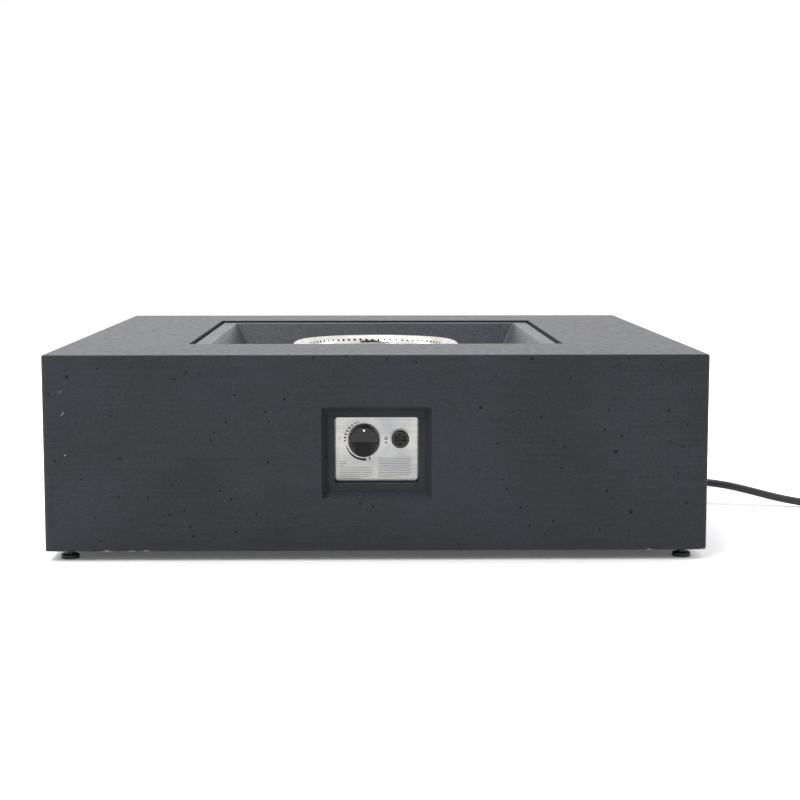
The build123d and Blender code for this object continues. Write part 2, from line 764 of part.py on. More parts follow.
with BuildPart() as control_panel:
    with BuildSketch(facing_front(0, niche_back_y, panel_z)):
        RectangleRounded(panel_width, panel_height, panel_corner_radius)
    extrude(amount=niche_boss_depth - panel_depth)
    with BuildSketch(facing_front(0, flange_back_y, panel_z)):
        RectangleRounded(panel_flange_width, panel_flange_height, panel_corner_radius)
    extrude(amount=panel_thickness)
    with BuildSketch(facing_front(0, flange_back_y, panel_z)):
        RectangleRounded(
            panel_width - 2 * panel_thickness,
            panel_height - 2 * panel_thickness,
            panel_corner_radius - panel_thickness,
        )
    extrude(amount=flange_back_y - panel_back_y, mode=Mode.SUBTRACT)
    fillet(
        control_panel.faces().filter_by(Axis.Y).sort_by(Axis.Y)[0].edges(),
        panel_thickness * 0.4,
    )
    with BuildSketch(facing_front(0, flange_back_y, panel_z)):
        with GridLocations(panel_screw_spacing_x, panel_screw_spacing_z, 2, 2):
            Circle(panel_screw_radius + running_clearance)
    extrude(amount=panel_thickness, mode=Mode.SUBTRACT)
    with BuildSketch(facing_front(knob_x, panel_back_y, knob_z)):
        Circle(stem_shaft_radius + loose_clearance)
        with Locations((valve_screw_circle, 0), (-valve_screw_circle, 0)):
            Circle(valve_screw_radius + running_clearance)
    extrude(amount=panel_thickness, mode=Mode.SUBTRACT)
    with BuildSketch(facing_front(igniter_x, panel_back_y, igniter_z)):
        Circle(igniter_barrel_radius + running_clearance)
    extrude(amount=panel_thickness, mode=Mode.SUBTRACT)
save(control_panel, "control_panel")

with BuildPart() as panel_inserts:
    with BuildSketch(facing_front(0, niche_back_y, panel_z)):
        with GridLocations(panel_screw_spacing_x, panel_screw_spacing_z, 2, 2):
            Circle(panel_insert_radius)
            Circle(panel_screw_radius, mode=Mode.SUBTRACT)
    extrude(amount=panel_insert_length)
save(panel_inserts, "panel_inserts")

with BuildPart() as panel_screws:
    with BuildSketch(facing_back(0, flange_back_y, panel_z)):
        with GridLocations(panel_screw_spacing_x, panel_screw_spacing_z, 2, 2):
            Circle(screw_head_radius)
    extrude(amount=screw_head_height)
    with BuildSketch(facing_front(0, flange_back_y, panel_z)):
        with GridLocations(panel_screw_spacing_x, panel_screw_spacing_z, 2, 2):
            Circle(panel_screw_radius)
    extrude(amount=panel_screw_length)
save(panel_screws, "panel_screws")

# ---------------------------------------------------------------- gas valve and knob

with BuildPart() as gas_valve:
    with BuildSketch(facing_back(knob_x, panel_back_y, knob_z)):
        Circle(valve_flange_radius)
    extrude(amount=valve_flange_thickness)
    with BuildSketch(facing_back(knob_x, valve_flange_back_y, knob_z)):
        Circle(valve_barrel_radius)
    extrude(amount=valve_barrel_length)
    with BuildSketch(facing_back(knob_x, valve_body_y, knob_z)):
        Rectangle(valve_body_width, valve_body_height)
    extrude(amount=valve_body_depth)
    fillet(gas_valve.edges().filter_by(Axis.Y), valve_body_width * 0.1)
    with BuildSketch(facing_back(knob_x, valve_back_y, knob_z)):
        Circle(valve_port_radius)
    extrude(amount=valve_port_length)
    with BuildSketch(Plane(origin=(knob_x, valve_inlet_y, valve_inlet_z))):
        Circle(valve_port_radius)
    extrude(amount=valve_port_length)
    with BuildSketch(facing_back(knob_x, panel_back_y, knob_z)):
        Circle(stem_shaft_radius + running_clearance)
    extrude(amount=shaft_back_y + knob_travel + cover - panel_back_y, mode=Mode.SUBTRACT)
    with BuildSketch(facing_back(knob_x, chamber_front_y, knob_z)):
        Circle(valve_chamber_radius)
    extrude(amount=valve_chamber_length, mode=Mode.SUBTRACT)
    with BuildSketch(facing_front(knob_x, valve_outlet_y, knob_z)):
        Circle(feed_pipe_radius + running_clearance)
    extrude(amount=pipe_socket, mode=Mode.SUBTRACT)
    with BuildSketch(Plane(origin=(knob_x, valve_inlet_y, valve_inlet_z))):
        Circle(supply_pipe_radius + running_clearance)
    extrude(amount=pipe_socket, mode=Mode.SUBTRACT)
    with BuildSketch(facing_back(knob_x, panel_back_y, knob_z)):
        with Locations((valve_screw_circle, 0), (-valve_screw_circle, 0)):
            Circle(valve_screw_radius)
    extrude(amount=valve_flange_thickness, mode=Mode.SUBTRACT)
    with BuildSketch(facing_front(knob_x - valve_body_width * 0.35, valve_back_y, knob_z)):
        Circle(lead_radius + running_clearance)
    extrude(amount=-cover, mode=Mode.SUBTRACT)
save(gas_valve, "gas_valve")

with BuildPart() as valve_screws:
    with BuildSketch(facing_front(knob_x, panel_y, knob_z)):
        with Locations((valve_screw_circle, 0), (-valve_screw_circle, 0)):
            Circle(valve_screw_head)
    extrude(amount=valve_screw_head_height)
    with BuildSketch(facing_back(knob_x, panel_y, knob_z)):
        with Locations((valve_screw_circle, 0), (-valve_screw_circle, 0)):
            Circle(valve_screw_radius)
    extrude(amount=panel_thickness + valve_flange_thickness)
save(valve_screws, "valve_screws")

with BuildPart() as valve_shaft:
    with BuildSketch(facing_back(knob_x, shaft_front_y, knob_z)):
        Circle(stem_shaft_radius)
    extrude(amount=shaft_back_y - shaft_front_y)
    chamfer(valve_shaft.edges().filter_by(GeomType.CIRCLE).sort_by(Axis.Y)[-1], stem_shaft_radius * 0.15)
save(valve_shaft, "valve_shaft")

with BuildPart() as thrust_washer:
    with BuildSketch(facing_back(knob_x, washer_y, knob_z)):
        Circle(washer_radius)
        Circle(stem_shaft_radius + running_clearance, mode=Mode.SUBTRACT)
    extrude(amount=washer_thickness)
save(thrust_washer, "thrust_washer")

with BuildPart() as valve_spring:
    spring_front_y = washer_y + washer_thickness + valve_spring_wire
    spring_back_y = chamber_back_y - valve_spring_wire
    spring_length = spring_back_y - spring_front_y
    with BuildLine() as spring_line:
        Helix(
            pitch=spring_length / valve_spring_turns,
            height=spring_length,
            radius=valve_spring_radius,
            center=(knob_x, spring_front_y, knob_z),
            direction=(0, 1, 0),
        )
    with BuildSketch(Plane(origin=spring_line.line @ 0, z_dir=spring_line.line % 0)):
        Circle(valve_spring_wire)
    sweep(path=spring_line.line, is_frenet=True)
save(valve_spring, "valve_spring")

with BuildPart() as control_knob:
    knob_length = knob_back_y - knob_face_y
    with BuildSketch(Plane(origin=(knob_x, knob_back_y, knob_z), x_dir=(1, 0, 0), z_dir=(0, 0, -1))):
        with BuildLine():
            Polyline(
                (0, 0),
                (knob_base_radius, 0),
                (knob_base_radius, knob_skirt),
                (knob_face_radius, knob_length),
                (0, knob_length),
                close=True,
            )
        make_face()
    revolve(axis=Axis((knob_x, knob_back_y, knob_z), (0, 1, 0)))
    fillet(control_knob.edges().filter_by(GeomType.CIRCLE).sort_by(Axis.Y)[0], knob_edge_radius)
    with BuildSketch(facing_front(knob_x, knob_back_y, knob_z)):
        Circle(knob_base_radius - knob_wall)
        Circle(knob_boss_radius, mode=Mode.SUBTRACT)
    extrude(amount=knob_cavity_depth, mode=Mode.SUBTRACT)
    with BuildSketch(facing_front(knob_x, knob_back_y, knob_z)):
        Circle(stem_shaft_radius)
    extrude(amount=knob_back_y - shaft_front_y, mode=Mode.SUBTRACT)
    # finger scoop in the lower half of the face, below a straight edge across the middle
    scoop_tilt = radians(knob_scoop_tilt)
    scoop_reach = knob_scoop_radius - knob_scoop_depth
    scoop_plane = Plane(
        origin=(knob_x, knob_face_y - scoop_reach, knob_z + scoop_reach * tan(scoop_tilt)),
        x_dir=(1, 0, 0),
        z_dir=(0, -sin(scoop_tilt), -cos(scoop_tilt)),
    )
    with Locations(scoop_plane.location):
        Cylinder(
            knob_scoop_radius,
            3 * knob_base_radius,
            align=(Align.CENTER, Align.CENTER, Align.MIN),
            mode=Mode.SUBTRACT,
        )
save(control_knob, "control_knob")

# ---------------------------------------------------------------- igniter

with BuildPart() as igniter_housing:
    with BuildSketch(facing_back(igniter_x, igniter_neck_y, igniter_z)):
        Circle(igniter_neck_radius)
    extrude(amount=igniter_flange_y - igniter_neck_y)
    with BuildSketch(facing_back(igniter_x, igniter_flange_y, igniter_z)):
        Circle(igniter_flange_radius)
    extrude(amount=igniter_flange_thickness)
    with BuildSketch(facing_back(igniter_x, panel_y, igniter_z)):
        Circle(igniter_barrel_radius)
    extrude(amount=igniter_barrel_length)
    with BuildSketch(facing_back(igniter_x, igniter_back_y, igniter_z)):
        Circle(igniter_terminal_radius)
    extrude(amount=igniter_terminal_length)
    with BuildSketch(facing_back(igniter_x, igniter_neck_y, igniter_z)):
        Circle(igniter_bore_radius)
    extrude(amount=bore_end_y - igniter_neck_y, mode=Mode.SUBTRACT)
save(igniter_housing, "igniter_housing")

with BuildPart() as igniter_nut:
    with BuildSketch(facing_back(igniter_x, panel_back_y, igniter_z)):
        RegularPolygon(igniter_nut_radius, 6)
        Circle(igniter_barrel_radius, mode=Mode.SUBTRACT)
    extrude(amount=igniter_nut_height)
save(igniter_nut, "igniter_nut")

with BuildPart() as battery:
    with BuildSketch(facing_back(igniter_x, battery_front_y, igniter_z)):
        Circle(battery_radius)
    extrude(amount=battery_length)
    fillet(battery.edges().filter_by(GeomType.CIRCLE), battery_radius * 0.08)
save(battery, "battery")

with BuildPart() as battery_spring:
    with BuildLine() as battery_spring_line:
        Helix(
            pitch=(battery_spring_length - 2 * spring_wire) / 3,
            height=battery_spring_length - 2 * spring_wire,
            radius=battery_spring_radius,
            center=(igniter_x, battery_back_y + spring_wire, igniter_z),
            direction=(0, 1, 0),
        )
    with BuildSketch(Plane(origin=battery_spring_line.line @ 0, z_dir=battery_spring_line.line % 0)):
        Circle(spring_wire)
    sweep(path=battery_spring_line.line, is_frenet=True)
save(battery_spring, "battery_spring")

with BuildPart() as igniter_cap:
    with BuildSketch(facing_back(igniter_x, cap_front_y, igniter_z)):
        Circle(igniter_flange_radius)
    extrude(amount=cap_back_y - cap_front_y)
    fillet(igniter_cap.edges().filter_by(GeomType.CIRCLE).sort_by(Axis.Y)[0], cap_edge_radius)
    with BuildSketch(facing_back(igniter_x, cap_lip_y, igniter_z)):
        Circle(igniter_neck_radius + running_clearance)
    extrude(amount=cap_back_y - cap_lip_y, mode=Mode.SUBTRACT)
    with BuildSketch(facing_back(igniter_x, cap_front_y, igniter_z)):
        Circle(cap_mouth_radius)
    extrude(amount=cap_lip, mode=Mode.SUBTRACT)
save(igniter_cap, "igniter_cap")

with BuildPart() as igniter_button:
    with BuildSketch(facing_back(igniter_x, button_front_y, igniter_z)):
        Circle(button_radius)
    extrude(amount=button_flange_y - button_front_y)
    fillet(igniter_button.edges().filter_by(GeomType.CIRCLE).sort_by(Axis.Y)[0], button_proud * 0.6)
    with BuildSketch(facing_back(igniter_x, button_flange_y, igniter_z)):
        Circle(button_flange_radius)
    extrude(amount=button_flange_thickness)
save(igniter_button, "igniter_button")

with BuildPart() as button_spring:
    button_spring_front = button_flange_back_y + spring_wire
    button_spring_length = battery_front_y - spring_wire - button_spring_front
    with BuildLine() as button_spring_line:
        Helix(
            pitch=button_spring_length / button_spring_turns,
            height=button_spring_length,
            radius=button_spring_radius,
            center=(igniter_x, button_spring_front, igniter_z),
            direction=(0, 1, 0),
        )
    with BuildSketch(Plane(origin=button_spring_line.line @ 0, z_dir=button_spring_line.line % 0)):
        Circle(spring_wire)
    sweep(path=button_spring_line.line, is_frenet=True)
save(button_spring, "button_spring")

# ---------------------------------------------------------------- spark electrode and flame probe

with BuildPart() as probe_bracket:
    plate = probe_plate_thickness
    with BuildSketch(Plane.XY.offset(pan_top_z)):
        with Locations((0, web_y)):
            Rectangle(probe_plate_width, probe_foot_length, align=(Align.CENTER, Align.MIN))
    extrude(amount=plate)
    with BuildSketch(Plane.XY.offset(pan_top_z)):
        with Locations((0, web_y)):
            Rectangle(probe_plate_width, plate, align=(Align.CENTER, Align.MIN))
    extrude(amount=shelf_z - pan_top_z + plate)
    with BuildSketch(Plane.XY.offset(shelf_z)):
        with Locations((0, web_y + plate)):
            Rectangle(
                probe_plate_width,
                probe_web_offset + plate + probe_shelf_overhang,
                align=(Align.CENTER, Align.MAX),
            )
        with Locations((electrode_x, probe_y)):
            Circle(electrode_radius + running_clearance, mode=Mode.SUBTRACT)
        with Locations((thermocouple_x, probe_y)):
            Circle(thermocouple_radius + running_clearance, mode=Mode.SUBTRACT)
    extrude(amount=plate)
save(probe_bracket, "probe_bracket")

with BuildPart() as spark_electrode:
    with BuildSketch(Plane(origin=(electrode_x, probe_y, probe_bottom_z))):
        Circle(electrode_radius)
    extrude(amount=probe_top_z - probe_bottom_z)
    chamfer(
        spark_electrode.edges().filter_by(GeomType.CIRCLE).sort_by(Axis.Z)[-1], electrode_radius * 0.4
    )
    with BuildSketch(Plane(origin=(electrode_x, probe_y, probe_top_z))):
        Circle(electrode_tip_radius)
    extrude(amount=electrode_tip_length)
save(spark_electrode, "spark_electrode")

with BuildPart() as thermocouple:
    with BuildSketch(Plane(origin=(thermocouple_x, probe_y, probe_bottom_z))):
        Circle(thermocouple_radius)
    extrude(amount=probe_top_z + electrode_tip_length - probe_bottom_z)
    fillet(
        thermocouple.edges().filter_by(GeomType.CIRCLE).sort_by(Axis.Z)[-1], thermocouple_radius * 0.9
    )
save(thermocouple, "thermocouple")

# Leads from the probes to the valve and to the igniter
thermocouple_lead_route = [
    (thermocouple_x, probe_y, probe_bottom_z),
    (thermocouple_x, probe_y, probe_bottom_z - lead_drop),
    (-40.0, -190.0, 126.0),
    (-34.0, -280.0, 150.0),
    (knob_x - valve_body_width * 0.35, valve_back_y + cover + lead_end_run, knob_z),
    (knob_x - valve_body_width * 0.35, valve_back_y + cover, knob_z),
]
ignition_wire_route = [
    (electrode_x, probe_y, probe_bottom_z),
    (electrode_x, probe_y, probe_bottom_z - lead_drop),
    (44.0, -190.0, 126.0),
    (40.0, -270.0, 152.0),
    (igniter_x, igniter_back_y + igniter_terminal_length + lead_end_run, igniter_z),
    (igniter_x, igniter_back_y + igniter_terminal_length, igniter_z),
]
with BuildPart() as thermocouple_lead:
    add(tube_along(thermocouple_lead_route, lead_bend, lead_radius))
save(thermocouple_lead, "thermocouple_lead")

with BuildPart() as ignition_wire:
    add(tube_along(ignition_wire_route, lead_bend, lead_radius))
save(ignition_wire, "ignition_wire")

# ---------------------------------------------------------------- gas pipes

feed_start_y = valve_outlet_y - pipe_socket
feed_end_y = -burner_elbow_size / 2 - burner_elbow_leg + pipe_socket
feed_route = [
    (knob_x, feed_start_y, knob_z),
    (knob_x, valve_outlet_y + feed_pipe_run, knob_z),
    (-6.0, -150.0, burner_elbow_z),
    (0.0, -100.0, burner_elbow_z),
    (0.0, feed_end_y, burner_elbow_z),
]
with BuildPart() as feed_pipe:
    add(tube_along(feed_route, feed_pipe_bend, feed_pipe_radius))
save(feed_pipe, "feed_pipe")

supply_start_y = hose_y - elbow_size / 2 - elbow_leg + pipe_socket
supply_route = [
    (supply_pipe_x, supply_start_y, hose_z),
    (supply_pipe_x, valve_inlet_y, hose_z),
    (knob_x, valve_inlet_y, hose_z),
    (knob_x, valve_inlet_y, valve_inlet_z + pipe_socket),
]
with BuildPart() as supply_pipe:
    add(tube_along(supply_route, supply_pipe_bend, supply_pipe_radius))
save(supply_pipe, "supply_pipe")

with BuildPart() as pipe_nuts:
    with BuildSketch(facing_back(knob_x, valve_outlet_y, knob_z)):
        RegularPolygon(pipe_nut_radius, 6)
        Circle(feed_pipe_radius, mode=Mode.SUBTRACT)
    extrude(amount=pipe_nut_length)
    with BuildSketch(facing_front(0, -burner_elbow_size / 2 - burner_elbow_leg, burner_elbow_z)):
        RegularPolygon(pipe_nut_radius, 6)
        Circle(feed_pipe_radius, mode=Mode.SUBTRACT)
    extrude(amount=pipe_nut_length)
    with BuildSketch(Plane(origin=(knob_x, valve_inlet_y, valve_inlet_z))):
        RegularPolygon(pipe_nut_radius, 6)
        Circle(supply_pipe_radius, mode=Mode.SUBTRACT)
    extrude(amount=-pipe_nut_length)
    with BuildSketch(facing_front(supply_pipe_x, hose_y - elbow_size / 2 - elbow_leg, hose_z)):
        RegularPolygon(pipe_nut_radius, 6)
        Circle(supply_pipe_radius, mode=Mode.SUBTRACT)
    extrude(amount=pipe_nut_length)
save(pipe_nuts, "pipe_nuts")

with BuildPart() as inlet_elbow:
    with BuildSketch(facing_right(supply_pipe_x - elbow_size / 2, hose_y, hose_z)):
        Rectangle(elbow_size, elbow_size)
    extrude(amount=elbow_size)
    fillet(inlet_elbow.edges().filter_by(Axis.Z), elbow_size * 0.15)
    with BuildSketch(facing_right(supply_pipe_x + elbow_size / 2, hose_y, hose_z)):
        Circle(elbow_leg_radius)
    extrude(amount=ferrule_back_x - supply_pipe_x - elbow_size / 2)
    with BuildSketch(facing_front(supply_pipe_x, hose_y - elbow_size / 2, hose_z)):
        Circle(elbow_leg_radius)
    extrude(amount=elbow_leg)
    with BuildSketch(facing_front(supply_pipe_x, supply_start_y, hose_z)):
        Circle(supply_pipe_radius + running_clearance)
    extrude(amount=pipe_socket, mode=Mode.SUBTRACT)
save(inlet_elbow, "inlet_elbow")

# Brackets: a ring round the pipe, an arm over it and a foot on the wall, in side view
bracket_places = [(facing_front(supply_pipe_x, y, hose_z), supply_pipe_inset) for y in bracket_right_y]
bracket_places.append(
    (
        Plane(origin=(bracket_front_x, valve_inlet_y, hose_z), x_dir=(0, -1, 0), z_dir=(-1, 0, 0)),
        valve_inlet_y + casing_inner_half,
    )
)
with BuildPart() as pipe_brackets:
    for bracket_plane, wall_distance in bracket_places:
        with BuildSketch(bracket_plane):
            Circle(supply_pipe_radius + bracket_thickness)
            with Locations((0, supply_pipe_radius)):
                Rectangle(wall_distance, bracket_thickness, align=(Align.MIN, Align.MIN))
            with Locations((wall_distance, supply_pipe_radius)):
                Rectangle(bracket_thickness, bracket_foot, align=(Align.MAX, Align.MIN))
            Circle(supply_pipe_radius, mode=Mode.SUBTRACT)
        extrude(amount=bracket_width / 2, both=True)
    for bracket_plane, wall_distance in bracket_places:
        hole_origin = bracket_plane.from_local_coords((wall_distance, bracket_screw_height, 0))
        with BuildSketch(Plane(origin=hole_origin, x_dir=bracket_plane.z_dir, z_dir=-bracket_plane.x_dir)):
            Circle(bracket_screw_radius + running_clearance)
        extrude(amount=bracket_thickness, mode=Mode.SUBTRACT)
save(pipe_brackets, "pipe_brackets")

with BuildPart() as bracket_screws:
    for bracket_plane, wall_distance in bracket_places:
        head_at = (wall_distance - bracket_thickness, bracket_screw_height, 0)
        head_origin = bracket_plane.from_local_coords(head_at)
        with BuildSketch(Plane(origin=head_origin, x_dir=bracket_plane.z_dir, z_dir=-bracket_plane.x_dir)):
            Circle(screw_head_radius)
        extrude(amount=screw_head_height)
        with BuildSketch(Plane(origin=head_origin, x_dir=bracket_plane.z_dir, z_dir=bracket_plane.x_dir)):
            Circle(bracket_screw_radius)
        extrude(amount=bracket_screw_length)
save(bracket_screws, "bracket_screws")

# ---------------------------------------------------------------- hose

with BuildPart() as hose_bushing:
    with BuildSketch(facing_right(wall_inner_x - bushing_flange_thickness, hose_y, hose_z)):
        Circle(bushing_flange_radius)
    extrude(amount=bushing_flange_thickness)
    with BuildSketch(facing_right(wall_inner_x, hose_y, hose_z)):
        Circle(bushing_hole_radius)
    extrude(amount=casing_wall)
    with BuildSketch(facing_right(casing_half, hose_y, hose_z)):
        Circle(bushing_flange_radius)
    extrude(amount=bushing_flange_thickness)
    fillet(
        hose_bushing.edges().filter_by(GeomType.CIRCLE).sort_by(Axis.X)[-1],
        bushing_flange_thickness * 0.6,
    )
    with BuildSketch(facing_right(wall_inner_x - bushing_flange_thickness, hose_y, hose_z)):
        Circle(hose_radius)
    extrude(amount=casing_wall + 2 * bushing_flange_thickness, mode=Mode.SUBTRACT)
save(hose_bushing, "hose_bushing")

with BuildPart() as hose_tail:
    with BuildSketch(facing_right(hose_inner_x, hose_y, hose_z)):
        Circle(hose_radius)
    extrude(amount=hose_exit_x - hose_inner_x)
save(hose_tail, "hose_tail")

with BuildPart() as hose_ferrule:
    with BuildSketch(facing_right(ferrule_back_x, hose_y, hose_z)):
        Circle(ferrule_radius)
    extrude(amount=ferrule_length)
    with BuildSketch(facing_right(hose_inner_x, hose_y, hose_z)):
        Circle(hose_radius)
    extrude(amount=ferrule_grip, mode=Mode.SUBTRACT)
save(hose_ferrule, "hose_ferrule")

for route_name, route in (("hose", hose_route), ("hose end", hose_end_route)):
    print(route_name, "arc radii", [round(radius) for radius in bend_radii(route)])

with BuildPart() as gas_hose:
    add(tube_along(hose_route, bend_radii(hose_route), hose_radius))
save(gas_hose, "gas_hose")

with BuildPart() as hose_coil:
    with BuildSketch(Plane(origin=(coil_x, coil_y, 0))):
        Circle(coil_outer_turn + hose_radius)
        Circle(coil_inner_turn - hose_radius, mode=Mode.SUBTRACT)
    extrude(amount=coil_top_z + hose_radius)
    fillet(hose_coil.edges().filter_by(GeomType.CIRCLE), coil_edge_radius)
save(hose_coil, "hose_coil")

with BuildPart() as hose_end:
    add(tube_along(hose_end_route, bend_radii(hose_end_route), hose_radius))
save(hose_end, "hose_end")

# ---------------------------------------------------------------- bottle regulator

with BuildPart() as regulator:
    shoulder_z = regulator_socket_height + regulator_body_height
    with BuildSketch(Plane(origin=(regulator_x, regulator_y, 0))):
        Circle(regulator_socket_radius)
    extrude(amount=regulator_socket_height)
    with BuildSketch(Plane(origin=(regulator_x, regulator_y, regulator_socket_height))):
        Circle(regulator_radius)
    extrude(amount=regulator_body_height)
    with BuildSketch(Plane(origin=(regulator_x, regulator_y, shoulder_z))):
        Circle(regulator_radius)
    extrude(amount=regulator_dome, taper=degrees(atan2(regulator_radius * 0.35, regulator_dome)))
    with BuildSketch(Plane(origin=(regulator_x, regulator_y, 0))):
        Circle(regulator_bore_radius)
    extrude(amount=regulator_bore_depth, mode=Mode.SUBTRACT)
    with BuildSketch(Plane(origin=(regulator_x, regulator_y, regulator_bore_depth))):
        Circle(seal_radius)
    extrude(amount=seal_recess + seal_thickness, mode=Mode.SUBTRACT)
    with BuildSketch(facing_front(regulator_x, regulator_y, regulator_port_z)):
        Circle(nozzle_radius)
    extrude(amount=regulator_radius + nozzle_length)
    with BuildSketch(facing_back(regulator_x, regulator_y, regulator_port_z)):
        Circle(tap_boss_radius)
    extrude(amount=regulator_radius + tap_boss_length)
    with BuildSketch(
        facing_back(regulator_x, regulator_y + regulator_radius + tap_boss_length, regulator_port_z)
    ):
        Circle(tap_pin_radius)
    extrude(amount=tap_pin_length)
save(regulator, "regulator")

with BuildPart() as regulator_seal:
    with BuildSketch(Plane(origin=(regulator_x, regulator_y, regulator_bore_depth + seal_recess))):
        Circle(seal_radius)
        Circle(seal_hole_radius, mode=Mode.SUBTRACT)
    extrude(amount=seal_thickness)
save(regulator_seal, "regulator_seal")

with BuildPart() as regulator_tap:
    tap_back_y = regulator_y + regulator_radius + tap_boss_length + loose_clearance
    with BuildSketch(facing_back(regulator_x, tap_back_y, regulator_port_z)):
        Circle(tap_radius)
    extrude(amount=tap_length)
    with BuildSketch(facing_back(regulator_x, tap_back_y + tap_length, regulator_port_z)):
        Rectangle(tap_bar_width, 2 * tap_radius)
        Circle(tap_radius, mode=Mode.INTERSECT)
    extrude(amount=tap_bar_height)
    with BuildSketch(facing_back(regulator_x, tap_back_y, regulator_port_z)):
        Circle(tap_pin_radius + running_clearance)
    extrude(amount=tap_pin_length, mode=Mode.SUBTRACT)
save(regulator_tap, "regulator_tap")

with BuildPart() as hose_clip:
    with BuildSketch(facing_back(regulator_x, nozzle_end_y - clip_width - cover, regulator_port_z)):
        Circle(hose_radius + clip_thickness)
        with Locations((0, hose_radius + clip_thickness)):
            Rectangle(clip_screw_size, clip_screw_size)
        Circle(hose_radius, mode=Mode.SUBTRACT)
    extrude(amount=clip_width)
save(hose_clip, "hose_clip")
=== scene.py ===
"""Square concrete gas fire table: materials, hose, panel marks, floor, light and camera.

Lengths are in metres. +Z is up and the control panel faces -Y.
"""
from math import atan2, cos, degrees, pi, radians, sin

import bpy
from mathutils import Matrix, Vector


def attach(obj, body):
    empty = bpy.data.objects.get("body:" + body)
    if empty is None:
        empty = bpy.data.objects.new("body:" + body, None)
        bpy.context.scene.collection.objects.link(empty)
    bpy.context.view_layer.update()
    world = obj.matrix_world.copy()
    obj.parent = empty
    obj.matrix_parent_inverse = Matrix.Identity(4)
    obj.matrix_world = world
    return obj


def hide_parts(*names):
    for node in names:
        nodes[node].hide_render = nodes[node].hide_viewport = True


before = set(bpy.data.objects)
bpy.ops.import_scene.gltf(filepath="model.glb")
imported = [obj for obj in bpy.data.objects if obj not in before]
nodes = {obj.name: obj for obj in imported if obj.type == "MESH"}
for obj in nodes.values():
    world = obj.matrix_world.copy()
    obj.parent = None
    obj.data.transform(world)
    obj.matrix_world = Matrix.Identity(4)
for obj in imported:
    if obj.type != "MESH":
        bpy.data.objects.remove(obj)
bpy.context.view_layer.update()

# ---------------------------------------------------------------- sizes repeated from the CAD source

hose_radius = 0.006
hose_route = [
    (0.449, 0.022, 0.034),
    (0.479, 0.022, 0.034),
    (0.520, 0.0085, 0.0338),
    (0.562, -0.005, 0.0308),
    (0.604, -0.0175, 0.022),
    (0.645, -0.030, 0.0124),
    (0.690, -0.0435, 0.006),
    (0.738, -0.056, 0.006),
    (0.783, -0.0645, 0.006),
    (0.825, -0.067, 0.006),
]
hose_end_route = [
    (0.910, 0.018, 0.018),
    (0.9104, 0.046, 0.0188),
    (0.9108, 0.072, 0.0268),
    (0.911, 0.097, 0.035),
    (0.911, 0.122, 0.035),
]
coil_centre = (0.825, 0.018)
coil_inner = 0.049
coil_outer = 0.085
coil_turns = 3
coil_floor = 0.006
coil_top = 0.018
steps_per_turn = 24

ring_radius = 0.121
ring_tube_radius = 0.014
ring_z = 0.2505

# ---------------------------------------------------------------- sizes worked out from the frame


def mesh_corners(name):
    """Lowest and highest corner of a CAD node's mesh, as it stands at rest."""
    corners = nodes[name].bound_box
    return Vector(corners[0]), Vector(corners[6])


casing_low, casing_high = mesh_corners("casing")
casing_half = casing_high.x
casing_bottom = casing_low.z
panel_face_y = mesh_corners("control_panel")[0].y
knob_low, knob_high = mesh_corners("control_knob")
knob_face_y = knob_low.y
knob_x = (knob_low.x + knob_high.x) / 2
knob_z = (knob_low.z + knob_high.z) / 2

# ---------------------------------------------------------------- helpers


def srgb(code):
    """Linear colour of a hex code, with alpha."""
    channels = [int(code[i : i + 2], 16) / 255 for i in (1, 3, 5)]
    return tuple(c / 12.92 if c <= 0.04045 else ((c + 0.055) / 1.055) ** 2.4 for c in channels) + (1.0,)


def per_metre(millimetres):
    """Scale at which a pattern repeats about every so many millimetres."""
    return 1000.0 / millimetres


def set_inputs(node, inputs):
    """Set or link a node's inputs, each named or numbered.

    A node given as a value stands for its first output, and a hex code for a colour.
    """
    for key, value in inputs.items():
        if isinstance(key, int):
            socket = node.inputs[key]
        else:
            socket = next(made for made in node.inputs if made.enabled and made.name == key)
        if isinstance(value, bpy.types.Node):
            value = next(made for made in value.outputs if made.enabled)
        if isinstance(value, bpy.types.NodeSocket):
            node.id_data.links.new(value, socket)
        else:
            socket.default_value = srgb(value) if isinstance(value, str) else value


def add_node(tree, kind, inputs=None, **settings):
    """Add a shader node with its settings and links."""
    made = tree.nodes.new("ShaderNode" + kind)
    for name, value in settings.items():
        setattr(made, name, value)
    set_inputs(made, inputs or {})
    return made


def new_material(name, colour, roughness, metallic=0.0, specular=0.5):
    """Material with one principled shader.

    Gives the material, its tree, its shader and the object's coordinates.
    """
    material = bpy.data.materials.new(name)
    material.use_nodes = True
    tree = material.node_tree
    shader = tree.nodes["Principled BSDF"]
    set_inputs(
        shader,
        {"Base Color": colour, "Roughness": roughness, "Metallic": metallic, "Specular IOR Level": specular},
    )
    return material, tree, shader, add_node(tree, "TexCoord").outputs["Object"]


def dress(material, *names):
    """Give CAD nodes a material in every slot."""
    for name in names:
        mesh = nodes[name].data
        if not mesh.materials:
            mesh.materials.append(material)
        for index in range(len(mesh.materials)):
            mesh.materials[index] = material


# ---------------------------------------------------------------- materials

# Wear on the casing: chipped stretches of the front's bottom edge, as shares of its width, and scuffed spots
chip_stretches = ((0.085, 0.101), (0.121, 0.134), (0.142, 0.155), (0.907, 0.919), (0.975, 0.997))
scuff_places = ((-0.4206, -0.445, 0.2286), (-0.4172, -0.445, 0.2003), (-0.4145, -0.445, 0.1437))
scuff_reach = 0.006
# Pin holes: spacing of their cells in millimetres and the reach of a hole as a share of a cell
pin_holes = ((11.0, 0.08), (20.0, 0.11), (36.0, 0.095))


